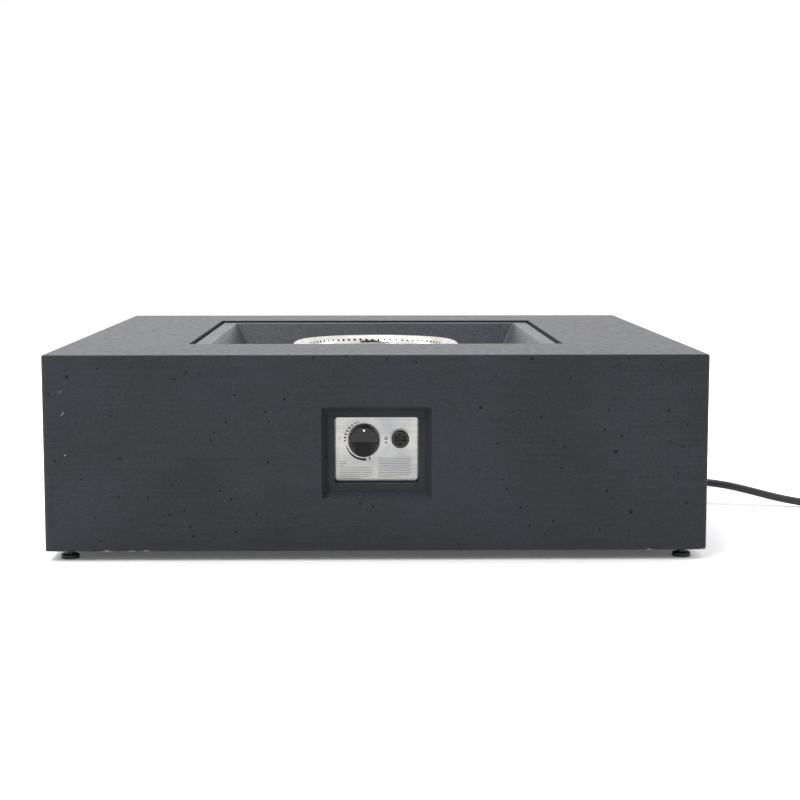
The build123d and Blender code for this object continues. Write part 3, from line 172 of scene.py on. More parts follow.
def find_pin_holes(tree, coords, hole_share):
    """One inside the small air holes of a casting and nought elsewhere."""
    holes = None
    for spacing, share in pin_holes:
        cells = add_node(tree, "TexVoronoi", {"Vector": coords, "Scale": per_metre(spacing)})
        widest = share * hole_share
        reach = add_node(
            tree, "MapRange",
            {"Value": cells.outputs["Color"], "To Min": widest * 0.3, "To Max": widest},
        )
        inside = add_node(tree, "Math", {0: cells.outputs["Distance"], 1: reach}, operation="LESS_THAN")
        holes = add_node(tree, "Math", {0: holes, 1: inside}, operation="MAXIMUM") if holes else inside
    return holes


def chip_and_scuff(tree, coords, colour):
    """Colour of the casing with pale, ragged chips along its bottom edge and a few scuffed spots."""
    place = add_node(tree, "SeparateXYZ", {"Vector": coords}).outputs
    ragged = add_node(tree, "TexNoise", {"Vector": coords, "Scale": per_metre(3.5), "Detail": 4.0})
    chip_top = add_node(
        tree, "MapRange",
        {"Value": ragged, "From Min": 0.3, "From Max": 0.7, "To Min": casing_bottom - 0.001,
         "To Max": casing_bottom + 0.0022},
    )
    low = add_node(tree, "Math", {0: place["Z"], 1: chip_top}, operation="LESS_THAN")
    along = add_node(
        tree, "MapRange", {"Value": place["X"], "From Min": -casing_half, "From Max": casing_half}
    )
    stretches = add_node(tree, "ValToRGB", {"Fac": along})
    stretches.color_ramp.interpolation = "CONSTANT"
    stops = stretches.color_ramp.elements
    stops[0].color = stops[1].color = (0, 0, 0, 1)
    for start, end in chip_stretches:
        stops.new(start).color = (1, 1, 1, 1)
        stops.new(end).color = (0, 0, 0, 1)
    chips = add_node(tree, "Math", {0: low, 1: stretches}, operation="MULTIPLY")
    scratches = add_node(tree, "TexNoise", {"Vector": coords, "Scale": per_metre(1.1), "Detail": 3.0})
    for centre in scuff_places:
        away = add_node(tree, "VectorMath", {0: coords, 1: centre}, operation="DISTANCE").outputs["Value"]
        near = add_node(
            tree, "MapRange",
            {"Value": away, "From Min": 0.0, "From Max": scuff_reach, "To Min": 0.53, "To Max": 0.8},
        )
        scuffed = add_node(tree, "Math", {0: scratches, 1: near}, operation="GREATER_THAN")
        chips = add_node(tree, "Math", {0: chips, 1: scuffed}, operation="MAXIMUM")
    chip_share = add_node(tree, "Math", {0: chips, 1: 0.75}, operation="MULTIPLY")
    return add_node(tree, "Mix", {"Factor": chip_share, "A": colour, "B": "#a3a3a1"}, data_type="RGBA")


def cast_concrete(name, tone, light_tone, specular, rubbed_roughness, hole_share, rubbed_and_painted_light_from, worn):
    """Charcoal fibre concrete, cast in a smooth mould and sealed.

    It is matt and softly clouded, with fine level trowel lines and pin holes, which are painted near-black as
    painted shade. Its upward faces are rubbed smoother and take a soft gloss at a low angle. They are also
    painted lighter, which is painted light and not a colour of the concrete. They are those whose normal
    rises by more than the level given for them.
    """
    material, tree, shader, coords = new_material(name, tone, 0.6, specular=specular)
    facing = add_node(tree, "SeparateXYZ", {"Vector": add_node(tree, "NewGeometry").outputs["Normal"]})
    upward = add_node(
        tree, "MapRange",
        {"Value": facing.outputs["Z"], "From Min": rubbed_and_painted_light_from, "From Max": rubbed_and_painted_light_from + 0.15},
    )
    clouds = add_node(tree, "TexNoise", {"Vector": coords, "Scale": per_metre(160), "Detail": 6.0})
    drawn = add_node(tree, "Mapping", {"Vector": coords, "Scale": (1.0, 6.0, 30.0)})
    lines = add_node(tree, "TexNoise", {"Vector": drawn, "Scale": per_metre(75), "Detail": 6.0})
    tint = add_node(tree, "Mix", {"Factor": 0.35, "A": clouds, "B": lines}, data_type="FLOAT")
    tint = add_node(tree, "MapRange", {"Value": tint, "From Min": 0.4, "From Max": 0.6})
    colour = add_node(tree, "Mix", {"Factor": tint, "A": tone, "B": light_tone}, data_type="RGBA")
    # Sand grains, drawn as coarse as they need to show, and stronger on the upward faces, where their pale
    # colour is painted light that makes the top lighter
    grains = add_node(tree, "TexNoise", {"Vector": coords, "Scale": per_metre(2.2), "Detail": 3.0})
    grain_and_painted_light_depth = add_node(tree, "MapRange", {"Value": upward, "To Min": 0.1, "To Max": 0.6})
    grain_and_painted_light_share = add_node(
        tree, "MapRange", {"Value": grains, "From Min": 0.35, "From Max": 0.7, "To Max": grain_and_painted_light_depth}
    )
    colour = add_node(tree, "Mix", {"Factor": grain_and_painted_light_share, "A": colour, "B": "#5b5c61"}, data_type="RGBA")
    # Float marks of about 10 mm on the upward faces, paler than the concrete: painted light that makes the
    # top lighter
    mottles = add_node(tree, "TexNoise", {"Vector": coords, "Scale": per_metre(10), "Detail": 5.0})
    mottle_and_painted_light_depth = add_node(tree, "Math", {0: upward, 1: 0.45}, operation="MULTIPLY")
    mottle_and_painted_light_share = add_node(
        tree, "MapRange", {"Value": mottles, "From Min": 0.4, "From Max": 0.65, "To Max": mottle_and_painted_light_depth}
    )
    colour = add_node(tree, "Mix", {"Factor": mottle_and_painted_light_share, "A": colour, "B": "#3c3d42"}, data_type="RGBA")
    holes = find_pin_holes(tree, coords, hole_share)
    # Pin holes painted near-black: painted shade inside the holes
    painted_hole_shade = add_node(tree, "Math", {0: holes, 1: 0.85}, operation="MULTIPLY")
    colour = add_node(tree, "Mix", {"Factor": painted_hole_shade, "A": colour, "B": "#08080a"}, data_type="RGBA")
    if worn:
        colour = chip_and_scuff(tree, coords, colour)
    rubbed = add_node(
        tree, "MapRange",
        {"Value": mottles, "From Min": 0.35, "From Max": 0.65, "To Min": rubbed_roughness - 0.05,
         "To Max": rubbed_roughness + 0.07},
    )
    roughness = add_node(tree, "Mix", {"Factor": upward, "A": 0.62, "B": rubbed}, data_type="FLOAT")
    relief = add_node(tree, "Bump", {"Height": grains, "Distance": 0.0003, "Strength": 0.5})
    relief = add_node(tree, "Bump", {"Height": lines, "Distance": 0.0005, "Strength": 0.3, "Normal": relief})
    sunk = add_node(tree, "Math", {0: 1.0, 1: holes}, operation="SUBTRACT")
    relief = add_node(tree, "Bump", {"Height": sunk, "Distance": 0.0006, "Strength": 0.6, "Normal": relief})
    set_inputs(shader, {"Base Color": colour, "Roughness": roughness, "Normal": relief})
    return material


# Heights between which painted shade darkens the panel downwards
shade_top, shade_bottom = 0.155, 0.115


def brushed_stainless(name, tone, light_tone, roughness):
    """Stainless sheet, brushed along its width: bright, with fine level streaks and a few hand smears."""
    material, tree, shader, coords = new_material(name, tone, roughness, metallic=1.0)
    drawn = add_node(tree, "Mapping", {"Vector": coords, "Scale": (0.25, 1.0, 9.0)})
    streaks = add_node(tree, "TexNoise", {"Vector": drawn, "Scale": per_metre(16), "Detail": 5.0})
    smears = add_node(tree, "TexNoise", {"Vector": coords, "Scale": per_metre(36), "Detail": 3.0})
    share = add_node(tree, "MapRange", {"Value": streaks, "From Min": 0.3, "From Max": 0.7})
    colour = add_node(tree, "Mix", {"Factor": share, "A": tone, "B": light_tone}, data_type="RGBA")
    smeared = add_node(tree, "MapRange", {"Value": smears, "From Min": 0.42, "From Max": 0.68, "To Max": 0.6})
    colour = add_node(tree, "Mix", {"Factor": smeared, "A": colour, "B": "#86898f"}, data_type="RGBA")
    # Painted shade: the colour turns a duller grey over the lower half, a darker reflection painted into the
    # steel
    height = add_node(tree, "SeparateXYZ", {"Vector": coords}).outputs["Z"]
    painted_shade = add_node(
        tree, "MapRange", {"Value": height, "From Min": shade_top, "From Max": shade_bottom, "To Max": 0.55}
    )
    colour = add_node(tree, "Mix", {"Factor": painted_shade, "A": colour, "B": "#858684"}, data_type="RGBA")
    rough = add_node(
        tree, "MapRange",
        {"Value": smears, "From Min": 0.35, "From Max": 0.65, "To Min": roughness,
         "To Max": roughness + 0.08},
    )
    relief = add_node(tree, "Bump", {"Height": streaks, "Distance": 0.00006, "Strength": 0.6})
    set_inputs(shader, {"Base Color": colour, "Roughness": rough, "Normal": relief})
    return material


def polished_tube(name):
    """Polished stainless tube, slightly straw-coloured by the flame, with fine polishing marks."""
    material, tree, shader, coords = new_material(name, "#dedcd6", 0.16, metallic=1.0)
    heat = add_node(tree, "TexNoise", {"Vector": coords, "Scale": per_metre(45), "Detail": 4.0})
    share = add_node(tree, "MapRange", {"Value": heat, "From Min": 0.5, "From Max": 0.7, "To Max": 0.6})
    colour = add_node(tree, "Mix", {"Factor": share, "A": "#e6e5e1", "B": "#cfc3ac"}, data_type="RGBA")
    # The inside of the tube, which shows through the gas ports, is painted black: painted shade inside the
    # tube
    level = add_node(tree, "VectorMath", {0: coords, 1: (1.0, 1.0, 0.0)}, operation="MULTIPLY")
    from_axis = add_node(tree, "VectorMath", {0: level}, operation="LENGTH").outputs["Value"]
    outward = add_node(tree, "Math", {0: from_axis, 1: ring_radius}, operation="SUBTRACT")
    height = add_node(tree, "SeparateXYZ", {"Vector": coords}).outputs["Z"]
    upward = add_node(tree, "Math", {0: height, 1: ring_z}, operation="SUBTRACT")
    in_section = add_node(tree, "CombineXYZ", {"X": outward, "Y": upward})
    from_middle = add_node(tree, "VectorMath", {0: in_section}, operation="LENGTH").outputs["Value"]
    inside = add_node(tree, "Math", {0: from_middle, 1: ring_tube_radius - 0.0005}, operation="LESS_THAN")
    colour = add_node(tree, "Mix", {"Factor": inside, "A": colour, "B": "#050505"}, data_type="RGBA")
    marks = add_node(tree, "TexNoise", {"Vector": coords, "Scale": per_metre(2), "Detail": 3.0})
    rough = add_node(
        tree, "MapRange", {"Value": marks, "From Min": 0.3, "From Max": 0.7, "To Min": 0.1, "To Max": 0.22}
    )
    relief = add_node(tree, "Bump", {"Height": marks, "Distance": 0.00004, "Strength": 0.4})
    set_inputs(shader, {"Base Color": colour, "Roughness": rough, "Normal": relief})
    return material


def plated_steel(name, tone, roughness):
    """Zinc-plated steel: grey metal with the soft blotches of the plating."""
    material, tree, shader, coords = new_material(name, tone, roughness, metallic=1.0)
    blotches = add_node(tree, "TexVoronoi", {"Vector": coords, "Scale": per_metre(7)})
    share = add_node(tree, "MapRange", {"Value": blotches.outputs["Color"], "To Max": 0.35})
    colour = add_node(tree, "Mix", {"Factor": share, "A": tone, "B": "#8d9196"}, data_type="RGBA")
    dull = add_node(tree, "TexNoise", {"Vector": coords, "Scale": per_metre(11), "Detail": 4.0})
    rough = add_node(
        tree, "MapRange",
        {"Value": dull, "From Min": 0.3, "From Max": 0.7, "To Min": roughness - 0.06,
         "To Max": roughness + 0.08},
    )
    set_inputs(shader, {"Base Color": colour, "Roughness": rough})
    return material


def cast_metal(name, tone, roughness, metallic):
    """Die-cast or painted casting: even colour over a fine orange-peel surface."""
    material, tree, shader, coords = new_material(name, tone, roughness, metallic)
    peel = add_node(tree, "TexNoise", {"Vector": coords, "Scale": per_metre(1.4), "Detail": 3.0})
    rough = add_node(
        tree, "MapRange",
        {"Value": peel, "From Min": 0.3, "From Max": 0.7, "To Min": roughness - 0.08,
         "To Max": roughness + 0.08},
    )
    relief = add_node(tree, "Bump", {"Height": peel, "Distance": 0.0001, "Strength": 0.5})
    set_inputs(shader, {"Roughness": rough, "Normal": relief})
    return material


def turned_brass(name):
    """Turned brass: yellow metal, dulled a little by handling."""
    material, tree, shader, coords = new_material(name, "#c9a25a", 0.3, metallic=1.0)
    dull = add_node(tree, "TexNoise", {"Vector": coords, "Scale": per_metre(8), "Detail": 4.0})
    share = add_node(tree, "MapRange", {"Value": dull, "From Min": 0.4, "From Max": 0.7})
    colour = add_node(tree, "Mix", {"Factor": share, "A": "#d0ab63", "B": "#9a7a3f"}, data_type="RGBA")
    rough = add_node(
        tree, "MapRange", {"Value": dull, "From Min": 0.3, "From Max": 0.7, "To Min": 0.24, "To Max": 0.42}
    )
    set_inputs(shader, {"Base Color": colour, "Roughness": rough})
    return material


def moulded_plastic(name, tone, roughness, grain_size, grain_height, specular=0.5):
    """Moulded plastic or rubber: even colour with the fine grain of the mould.

    The grain's size is in millimetres and its height in metres.
    """
    material, tree, shader, coords = new_material(name, tone, roughness, specular=specular)
    grain = add_node(tree, "TexNoise", {"Vector": coords, "Scale": per_metre(grain_size), "Detail": 2.0})
    rough = add_node(
        tree, "MapRange",
        {"Value": grain, "From Min": 0.3, "From Max": 0.7, "To Min": roughness - 0.04,
         "To Max": roughness + 0.06},
    )
    relief = add_node(tree, "Bump", {"Height": grain, "Distance": grain_height, "Strength": 0.6})
    set_inputs(shader, {"Roughness": rough, "Normal": relief})
    return material


def dimpled_button(name):
    """Glossy black button with a field of small dimples that catch the light, with painted highlights on
    their ridges.
    """
    material, tree, shader, coords = new_material(name, "#060607", 0.25, specular=0.14)
    dimples = add_node(tree, "TexVoronoi", {"Vector": coords, "Scale": per_metre(1.9), "Randomness": 0.3})
    from_dimple = dimples.outputs["Distance"]
    relief = add_node(tree, "Bump", {"Height": from_dimple, "Distance": 0.0009, "Strength": 1.0})
    # The ridges between the dimples are painted paler: painted highlights where the dimples catch the light
    painted_glint = add_node(tree, "MapRange", {"Value": from_dimple, "From Min": 0.54, "From Max": 0.7})
    colour = add_node(tree, "Mix", {"Factor": painted_glint, "A": "#060607", "B": "#70757f"}, data_type="RGBA")
    set_inputs(shader, {"Base Color": colour, "Normal": relief})
    return material


def black_heat_paint(name):
    """Matt black heat-resistant paint on sheet steel, rubbed grey in places."""
    material, tree, shader, coords = new_material(name, "#1d1d1e", 0.7)
    rubbed = add_node(tree, "TexNoise", {"Vector": coords, "Scale": per_metre(25), "Detail": 6.0})
    share = add_node(tree, "MapRange", {"Value": rubbed, "From Min": 0.58, "From Max": 0.72, "To Max": 0.5})
    colour = add_node(tree, "Mix", {"Factor": share, "A": "#1b1b1c", "B": "#3a3938"}, data_type="RGBA")
    grain = add_node(tree, "TexNoise", {"Vector": coords, "Scale": per_metre(1.1), "Detail": 2.0})
    relief = add_node(tree, "Bump", {"Height": grain, "Distance": 0.0001, "Strength": 0.5})
    set_inputs(shader, {"Base Color": colour, "Normal": relief})
    return material


def hose_rubber(name):
    """Extruded black gas hose: satin, with a faint dusty bloom."""
    material, tree, shader, coords = new_material(name, "#1c1d1f", 0.45)
    bloom = add_node(tree, "TexNoise", {"Vector": coords, "Scale": per_metre(22), "Detail": 5.0})
    share = add_node(tree, "MapRange", {"Value": bloom, "From Min": 0.5, "From Max": 0.75, "To Max": 0.6})
    colour = add_node(tree, "Mix", {"Factor": share, "A": "#191a1c", "B": "#303134"}, data_type="RGBA")
    rough = add_node(
        tree, "MapRange", {"Value": bloom, "From Min": 0.3, "From Max": 0.7, "To Min": 0.38, "To Max": 0.55}
    )
    grain = add_node(tree, "TexNoise", {"Vector": coords, "Scale": per_metre(1.2), "Detail": 2.0})
    relief = add_node(tree, "Bump", {"Height": grain, "Distance": 0.00005, "Strength": 0.5})
    set_inputs(shader, {"Base Color": colour, "Roughness": rough, "Normal": relief})
    return material


def glazed_ceramic(name):
    """White glazed insulator: glossy, with a slightly brown, heat-stained cast."""
    material, tree, shader, coords = new_material(name, "#e9e6dd", 0.2)
    stain = add_node(tree, "TexNoise", {"Vector": coords, "Scale": per_metre(12), "Detail": 4.0})
    share = add_node(tree, "MapRange", {"Value": stain, "From Min": 0.5, "From Max": 0.75})
    colour = add_node(tree, "Mix", {"Factor": share, "A": "#ece9e1", "B": "#cbbfa6"}, data_type="RGBA")
    set_inputs(shader, {"Base Color": colour})
    return material


def printed_ink(name, tone):
    """Flat printed ink: dull, broken up slightly by the grain under it."""
    material, tree, shader, coords = new_material(name, tone, 0.55, specular=0.2)
    worn = add_node(tree, "TexNoise", {"Vector": coords, "Scale": per_metre(1.1), "Detail": 2.0})
    rough = add_node(
        tree, "MapRange", {"Value": worn, "From Min": 0.3, "From Max": 0.7, "To Min": 0.5, "To Max": 0.62}
    )
    set_inputs(shader, {"Roughness": rough})
    return material


casing_concrete = cast_concrete(
    "casing_concrete",
    tone="#242529",
    light_tone="#2a2b30",
    specular=0.14,
    rubbed_roughness=0.37,
    hole_share=1.0,
    rubbed_and_painted_light_from=0.82,
    worn=True,
)
bowl_concrete = cast_concrete(
    "bowl_concrete",
    tone="#2b2c32",
    light_tone="#303137",
    specular=0.18,
    rubbed_roughness=0.3,
    hole_share=0.6,
    rubbed_and_painted_light_from=0.2,
    worn=False,
)
panel_steel = brushed_stainless("panel_steel", "#9d9c98", "#aaa9a5", roughness=0.17)
ring_steel = polished_tube("ring_steel")
sheet_zinc = plated_steel("sheet_zinc", "#a9adb1", roughness=0.4)
screw_zinc = plated_steel("screw_zinc", "#b4b5b6", roughness=0.3)
spring_wire = plated_steel("spring_wire", "#8f9092", roughness=0.32)
brass = turned_brass("brass")
valve_cast = cast_metal("valve_cast", "#a8a8a4", roughness=0.45, metallic=1.0)
pipe_aluminium = cast_metal("pipe_aluminium", "#c3c5c7", roughness=0.34, metallic=1.0)
regulator_paint = cast_metal("regulator_paint", "#8b8f93", roughness=0.42, metallic=0.3)
knob_plastic = moulded_plastic(
    "knob_plastic", "#0a0a0b", roughness=0.18, grain_size=0.7, grain_height=0.00002, specular=0.36
)
igniter_plastic = moulded_plastic(
    "igniter_plastic", "#040404", roughness=0.12, grain_size=0.7, grain_height=0.00001, specular=0.5
)
button_plastic = dimpled_button("button_plastic")
foot_plastic = moulded_plastic(
    "foot_plastic", "#141415", roughness=0.45, grain_size=0.9, grain_height=0.00005
)
tap_plastic = moulded_plastic(
    "tap_plastic", "#a3231c", roughness=0.4, grain_size=0.9, grain_height=0.00005
)
pan_paint = black_heat_paint("pan_paint")
rubber = hose_rubber("rubber")
bushing_rubber = moulded_plastic(
    "bushing_rubber", "#1a1a1b", roughness=0.6, grain_size=1.1, grain_height=0.00005
)
ceramic = glazed_ceramic("ceramic")
probe_steel = plated_steel("probe_steel", "#a08a72", roughness=0.35)
wire_silicone = moulded_plastic(
    "wire_silicone", "#8f2a22", roughness=0.5, grain_size=1.1, grain_height=0.00004
)
battery_sleeve = moulded_plastic(
    "battery_sleeve", "#5a5d61", roughness=0.3, grain_size=1.1, grain_height=0.00002
)
black_ink = printed_ink("black_ink", "#0c0c0d")
faint_ink = printed_ink("faint_ink", "#707173")
white_ink = printed_ink("white_ink", "#e8e8e6")

dress(casing_concrete, "casing")
dress(bowl_concrete, "fire_bowl")
dress(panel_steel, "control_panel")
dress(ring_steel, "ring_front", "ring_back", "burner_crossbar")
dress(pan_paint, "burner_pan")
dress(sheet_zinc, "heat_shield", "pipe_brackets", "probe_bracket")
dress(screw_zinc, "pan_screws", "panel_screws", "valve_screws", "bracket_screws")
dress(screw_zinc, "shield_spacers", "shield_nuts", "burner_nuts", "foot_inserts", "panel_inserts")
dress(screw_zinc, "thrust_washer", "valve_shaft", "hose_clip")
dress(spring_wire, "valve_spring", "battery_spring", "button_spring")
dress(brass, "air_mixer", "burner_elbow", "pipe_nuts", "inlet_elbow", "hose_ferrule")
dress(valve_cast, "gas_valve")
dress(pipe_aluminium, "feed_pipe", "supply_pipe")
dress(knob_plastic, "control_knob")
dress(igniter_plastic, "igniter_housing", "igniter_nut", "igniter_cap")
dress(button_plastic, "igniter_button")
dress(battery_sleeve, "battery")
dress(ceramic, "spark_electrode")
dress(probe_steel, "thermocouple", "thermocouple_lead")
dress(wire_silicone, "ignition_wire")
dress(foot_plastic, "foot_front_left", "foot_front_right", "foot_back_left", "foot_back_right")
dress(rubber, "hose_tail")
dress(bushing_rubber, "hose_bushing", "regulator_seal")
dress(regulator_paint, "regulator")
dress(tap_plastic, "regulator_tap")

# ---------------------------------------------------------------- hose

hose_line = list(hose_route)
layer_steps = coil_turns * steps_per_turn
start_angle = -pi / 2
step_angle = 2 * pi / steps_per_turn


def coil_point(angle, radius, height):
    """Point of the coil at an angle about its centre."""
    return (coil_centre[0] + radius * cos(angle), coil_centre[1] + radius * sin(angle), height)


# Lower layer, winding inwards
for step in range(1, layer_steps + 1):
    turn_radius = coil_outer - (coil_outer - coil_inner) * step / layer_steps
    hose_line.append(coil_point(start_angle + step * step_angle, turn_radius, coil_floor))
# Quarter turn that climbs onto the lower layer, and ends at an angle of nought
climb_steps = steps_per_turn // 4
for step in range(1, climb_steps + 1):
    height = coil_floor + (coil_top - coil_floor) * (1 - cos(pi * step / climb_steps)) / 2
    hose_line.append(coil_point(start_angle + step * step_angle, coil_inner, height))
# Upper layer, winding outwards
for step in range(1, layer_steps):
    turn_radius = coil_inner + (coil_outer - coil_inner) * step / layer_steps
    hose_line.append(coil_point(step * step_angle, turn_radius, coil_top))
hose_line += hose_end_route

hose_curve = bpy.data.curves.new("hose_line", "CURVE")
hose_curve.dimensions = "3D"
hose_curve.bevel_depth = hose_radius
hose_curve.bevel_resolution = 6
hose_curve.resolution_u = 6
hose_curve.use_fill_caps = True
hose_spline = hose_curve.splines.new("NURBS")
hose_spline.points.add(len(hose_line) - 1)
for point, place in zip(hose_spline.points, hose_line):
    point.co = (*place, 1.0)
hose_spline.order_u = 3
hose_spline.use_endpoint_u = True
hose_curve.materials.append(rubber)
gas_hose = bpy.data.objects.new("gas_supply_hose", hose_curve)
bpy.context.scene.collection.objects.link(gas_hose)
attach(gas_hose, "fire_pit")
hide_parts("gas_hose", "hose_coil", "hose_end")

# ---------------------------------------------------------------- marks on the panel and the knob

ink_proud = 0.00004
mark_y = panel_face_y - ink_proud
upright = pi / 2
circle_corners = 24
dial_radius = 0.026
bpy.ops.object.select_all(action="DESELECT")


def add_bar(x, z, length, width, turn=0.0):
    """Flat bar on the panel's face about its middle, turned from level."""
    bpy.ops.mesh.primitive_plane_add(size=1.0, location=(x, mark_y, z), rotation=(upright, -turn, 0.0))
    bar = bpy.context.object
    bar.scale = (length, width, 1.0)
    return bar


def add_disc(x, y, z, radius):
    """Flat disc that faces the front."""
    bpy.ops.mesh.primitive_circle_add(
        vertices=circle_corners,
        radius=radius,
        fill_type="NGON",
        location=(x, y, z),
        rotation=(upright, 0.0, 0.0),
    )
    return bpy.context.object


def add_band(x, z, inner, outer, shift_x=0.0, shift_z=0.0, corners=120):
    """Flat ring on the panel's face. Its outer circle may be shifted, so that its width varies."""
    bpy.ops.mesh.primitive_circle_add(
        vertices=corners,
        radius=inner,
        fill_type="NOTHING",
        location=(x, mark_y, z),
        rotation=(upright, 0.0, 0.0),
    )
    band = bpy.context.object
    bpy.ops.object.transform_apply(location=True, rotation=True, scale=True)
    bpy.ops.object.mode_set(mode="EDIT")
    bpy.ops.mesh.select_all(action="SELECT")
    bpy.ops.mesh.extrude_region_move()
    grow = outer / inner
    bpy.ops.transform.resize(value=(grow, 1.0, grow), center_override=(x, mark_y, z))
    bpy.ops.transform.translate(value=(shift_x, 0.0, shift_z))
    bpy.ops.mesh.select_all(action="DESELECT")
    bpy.ops.object.mode_set(mode="OBJECT")
    return band


def print_marks(name, marks, ink, body):
    """Join flat marks into one piece on a body of the part.

    The piece faces the front and has its place in its mesh.
    """
    bpy.ops.object.select_all(action="DESELECT")
    for mark in marks:
        mark.select_set(True)
    bpy.context.view_layer.objects.active = marks[0]
    if len(marks) > 1:
        bpy.ops.object.join()
    bpy.ops.object.transform_apply(location=True, rotation=True, scale=True)
    piece = bpy.context.object
    piece.name = piece.data.name = name
    for face in piece.data.polygons:
        if face.normal.y > 0:
            face.flip()
    piece.data.materials.clear()
    piece.data.materials.append(ink)
    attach(piece, body)


def dial_point(turn):
    """Point of the dial's circle at an angle, as x and z."""
    return knob_x + dial_radius * cos(turn), knob_z + dial_radius * sin(turn)


# Growing marks on the dial's left: degrees round it, length and width in millimetres
dial_marks = (
    (108, 2.0, 1.3),
    (118, 2.3, 1.5),
    (129, 2.6, 1.8),
    (140, 2.8, 2.0),
    (151, 3.0, 2.1),
    (162, 3.0, 2.2),
    (172, 3.0, 2.1),
    (182, 2.8, 1.8),
)
marks = [
    add_bar(*dial_point(radians(place)), length / 1000, width / 1000, radians(place))
    for place, length, width in dial_marks
]

# Tapered band below them: a ring with its outer circle shifted towards the wide end, cut to its stretch
band_start, band_end = 190.0, 277.0
band_shift = 0.0026
band_inner = dial_radius - 0.0010
band_outer = dial_radius - 0.0006
band = add_band(
    knob_x,
    knob_z,
    band_inner,
    band_outer,
    band_shift * cos(radians(band_end)),
    band_shift * sin(radians(band_end)),
)
for vertex in band.data.vertices:
    place = degrees(atan2(vertex.co.z - knob_z, vertex.co.x - knob_x)) % 360
    vertex.select = not band_start < place < band_end
bpy.ops.object.mode_set(mode="EDIT")
bpy.ops.mesh.select_mode(type="VERT")
bpy.ops.mesh.delete(type="VERT")
bpy.ops.object.mode_set(mode="OBJECT")
marks.append(band)
# Single stroke past the band's wide end
stroke_turn = radians(287)
stroke_length, stroke_width = 0.0042, 0.0016
marks.append(add_bar(*dial_point(stroke_turn), stroke_length, stroke_width, stroke_turn))

# Plain ring and dot between the knob and the igniter
sign_x = 0.0128
sign_ring_z, sign_ring_inner, sign_ring_outer = 0.1609, 0.0011, 0.0021
sign_dot_z, sign_dot_radius = 0.1551, 0.0012
marks.append(add_band(sign_x, sign_ring_z, sign_ring_inner, sign_ring_outer, corners=circle_corners))
marks.append(add_disc(sign_x, mark_y, sign_dot_z, sign_dot_radius))
print_marks("panel_dial_marks", marks, black_ink, "fire_pit")

# Plain ruled lines: blocks under the controls, and short ones beside and under the dial
line_width = 0.0006
line_gap = 0.0025
line_shares = (1.0, 0.96, 0.98, 0.9, 0.97, 0.93, 0.99, 0.95, 0.98, 0.92, 0.6)
# Left, right and top of each block, with its number of lines
ruled_blocks = (
    (-0.0505, -0.0040, 0.1215, 7),
    (0.0020, 0.0485, 0.1340, 11),
    (-0.0505, -0.0400, 0.1290, 3),
    (-0.0520, -0.0465, 0.1630, 2),
    (-0.0185, 0.0040, 0.1300, 1),
)
rules = [
    add_bar(left + (right - left) * share / 2, top - index * line_gap, (right - left) * share, line_width)
    for left, right, top, count in ruled_blocks
    for index, share in enumerate(line_shares[-count:])
]
print_marks("panel_ruled_lines", rules, faint_ink, "fire_pit")

# White dot near the top of the knob's face
pointer_height = 0.0155
pointer_radius = 0.0014
pointer = add_disc(knob_x, knob_face_y - ink_proud, knob_z + pointer_height, pointer_radius)
print_marks("knob_pointer_dot", [pointer], white_ink, "knob")

# ---------------------------------------------------------------- floor, light and camera

floor_width = 28.0
bpy.ops.mesh.primitive_plane_add(size=floor_width)
studio_floor = bpy.context.object
studio_floor.name = "studio_floor"
floor_material, floor_tree, floor_shader, floor_coords = new_material(
    "pale_floor", "#f4f4f5", 0.8, specular=0.1
)
floor_shade = add_node(
    floor_tree, "TexNoise", {"Vector": floor_coords, "Scale": per_metre(330), "Detail": 3.0}
)
floor_rough = add_node(
    floor_tree, "MapRange",
    {"Value": floor_shade, "From Min": 0.3, "From Max": 0.7, "To Min": 0.74, "To Max": 0.84},
)
# The floor glows faintly though it is no lamp: painted light that lifts the shadow under the casing
floor_light = {"Emission Color": "#ffffff", "Emission Strength": 0.08}
set_inputs(floor_shader, {"Roughness": floor_rough, **floor_light})
studio_floor.data.materials.append(floor_material)

scene = bpy.context.scene
world = bpy.data.worlds.new("studio")
world.use_nodes = True
scene.world = world
sky = world.node_tree
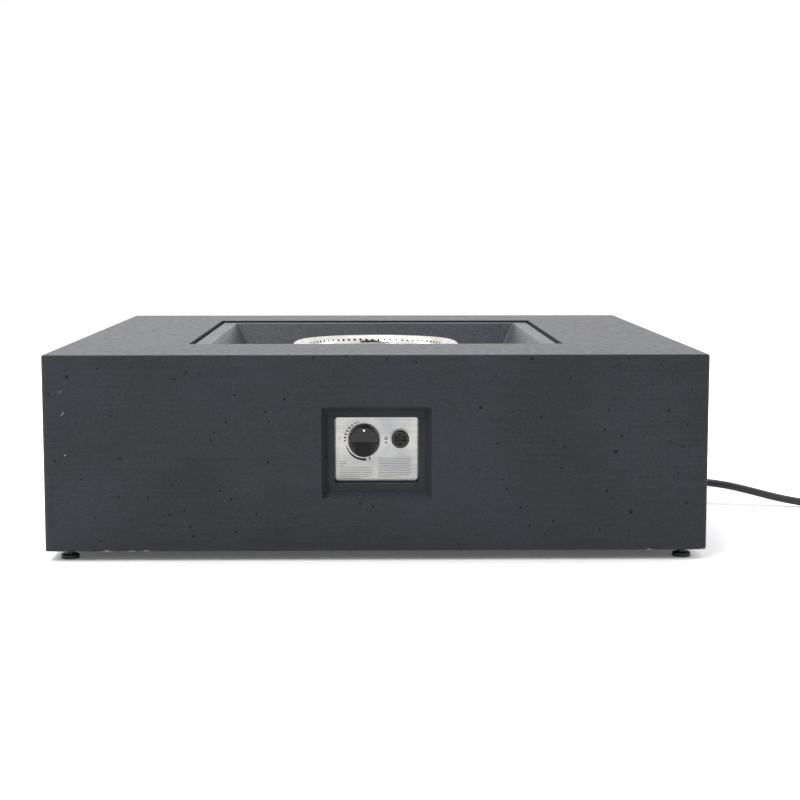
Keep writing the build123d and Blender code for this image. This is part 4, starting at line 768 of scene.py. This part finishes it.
# The backdrop shows plain white to the camera and to glossy and glassy surfaces. The light that it casts is
# stronger from behind the object.
seen = add_node(sky, "LightPath").outputs
plainly = add_node(sky, "Math", {0: seen["Is Camera Ray"], 1: seen["Is Glossy Ray"]}, operation="MAXIMUM")
plainly = add_node(sky, "Math", {0: plainly, 1: seen["Is Transmission Ray"]}, operation="MAXIMUM")
heading = add_node(sky, "SeparateXYZ", {"Vector": add_node(sky, "TexCoord").outputs["Generated"]})
lit = add_node(
    sky, "MapRange",
    {"Value": heading.outputs["Y"], "From Min": -0.9, "From Max": 0.3, "To Min": 0.62, "To Max": 1.3},
)
strength = add_node(sky, "Mix", {"Factor": plainly, "A": lit, "B": 1.0}, data_type="FLOAT")
set_inputs(sky.nodes["Background"], {"Color": "#ffffff", "Strength": strength})


def soft_light(name, place, target, size, power):
    """Square area light turned to a point."""
    lamp = bpy.data.lights.new(name, "AREA")
    lamp.size = size
    lamp.energy = power
    made = bpy.data.objects.new(name, lamp)
    made.location = place
    made.rotation_euler = (Vector(target) - Vector(place)).to_track_quat("-Z", "Y").to_euler()
    scene.collection.objects.link(made)


# Black flag behind the camera, seen only in reflections, where it is the dark accent on polished metal
flag_place = (0.2, -4.6, 3.3)
flag_width, flag_height = 4.6, 4.0
bpy.ops.mesh.primitive_plane_add(size=1.0, location=flag_place, rotation=(upright, 0.0, 0.0))
black_flag = bpy.context.object
black_flag.name = "black_flag"
black_flag.scale = (flag_width, flag_height, 1.0)
flag_cloth, flag_tree, flag_shader, flag_coords = new_material(
    "black_felt", "#060606", 0.95, specular=0.1
)
nap = add_node(flag_tree, "TexNoise", {"Vector": flag_coords, "Scale": per_metre(20), "Detail": 2.0})
set_inputs(flag_shader, {"Normal": add_node(flag_tree, "Bump", {"Height": nap, "Distance": 0.001})})
black_flag.data.materials.append(flag_cloth)
black_flag.visible_camera = False
black_flag.visible_diffuse = False
black_flag.visible_shadow = False

soft_light("overhead_softbox", place=(-0.8, 0.5, 2.7), target=(0.0, 0.2, 0.2), size=2.6, power=82.0)
for side, name in ((-1, "left_softbox"), (1, "right_softbox")):
    soft_light(name, place=(side * 2.4, 0.3, 1.5), target=(0.0, 0.0, 0.2), size=1.2, power=16.0)
soft_light("front_softbox", place=(-1.3, -2.5, 2.9), target=(0.0, -0.6, 0.1), size=1.8, power=64.0)

camera_data = bpy.data.cameras.new("camera")
camera_data.sensor_width = 36.0
camera_data.lens = 74.30
camera_data.clip_end = 60.0
camera = bpy.data.objects.new("camera", camera_data)
camera.location = (-0.006115, -2.62962, 0.45922)
camera.rotation_euler = (radians(83.6881), 0.0, radians(-0.9766))
scene.collection.objects.link(camera)
scene.camera = camera
scene.view_settings.view_transform = "Standard"
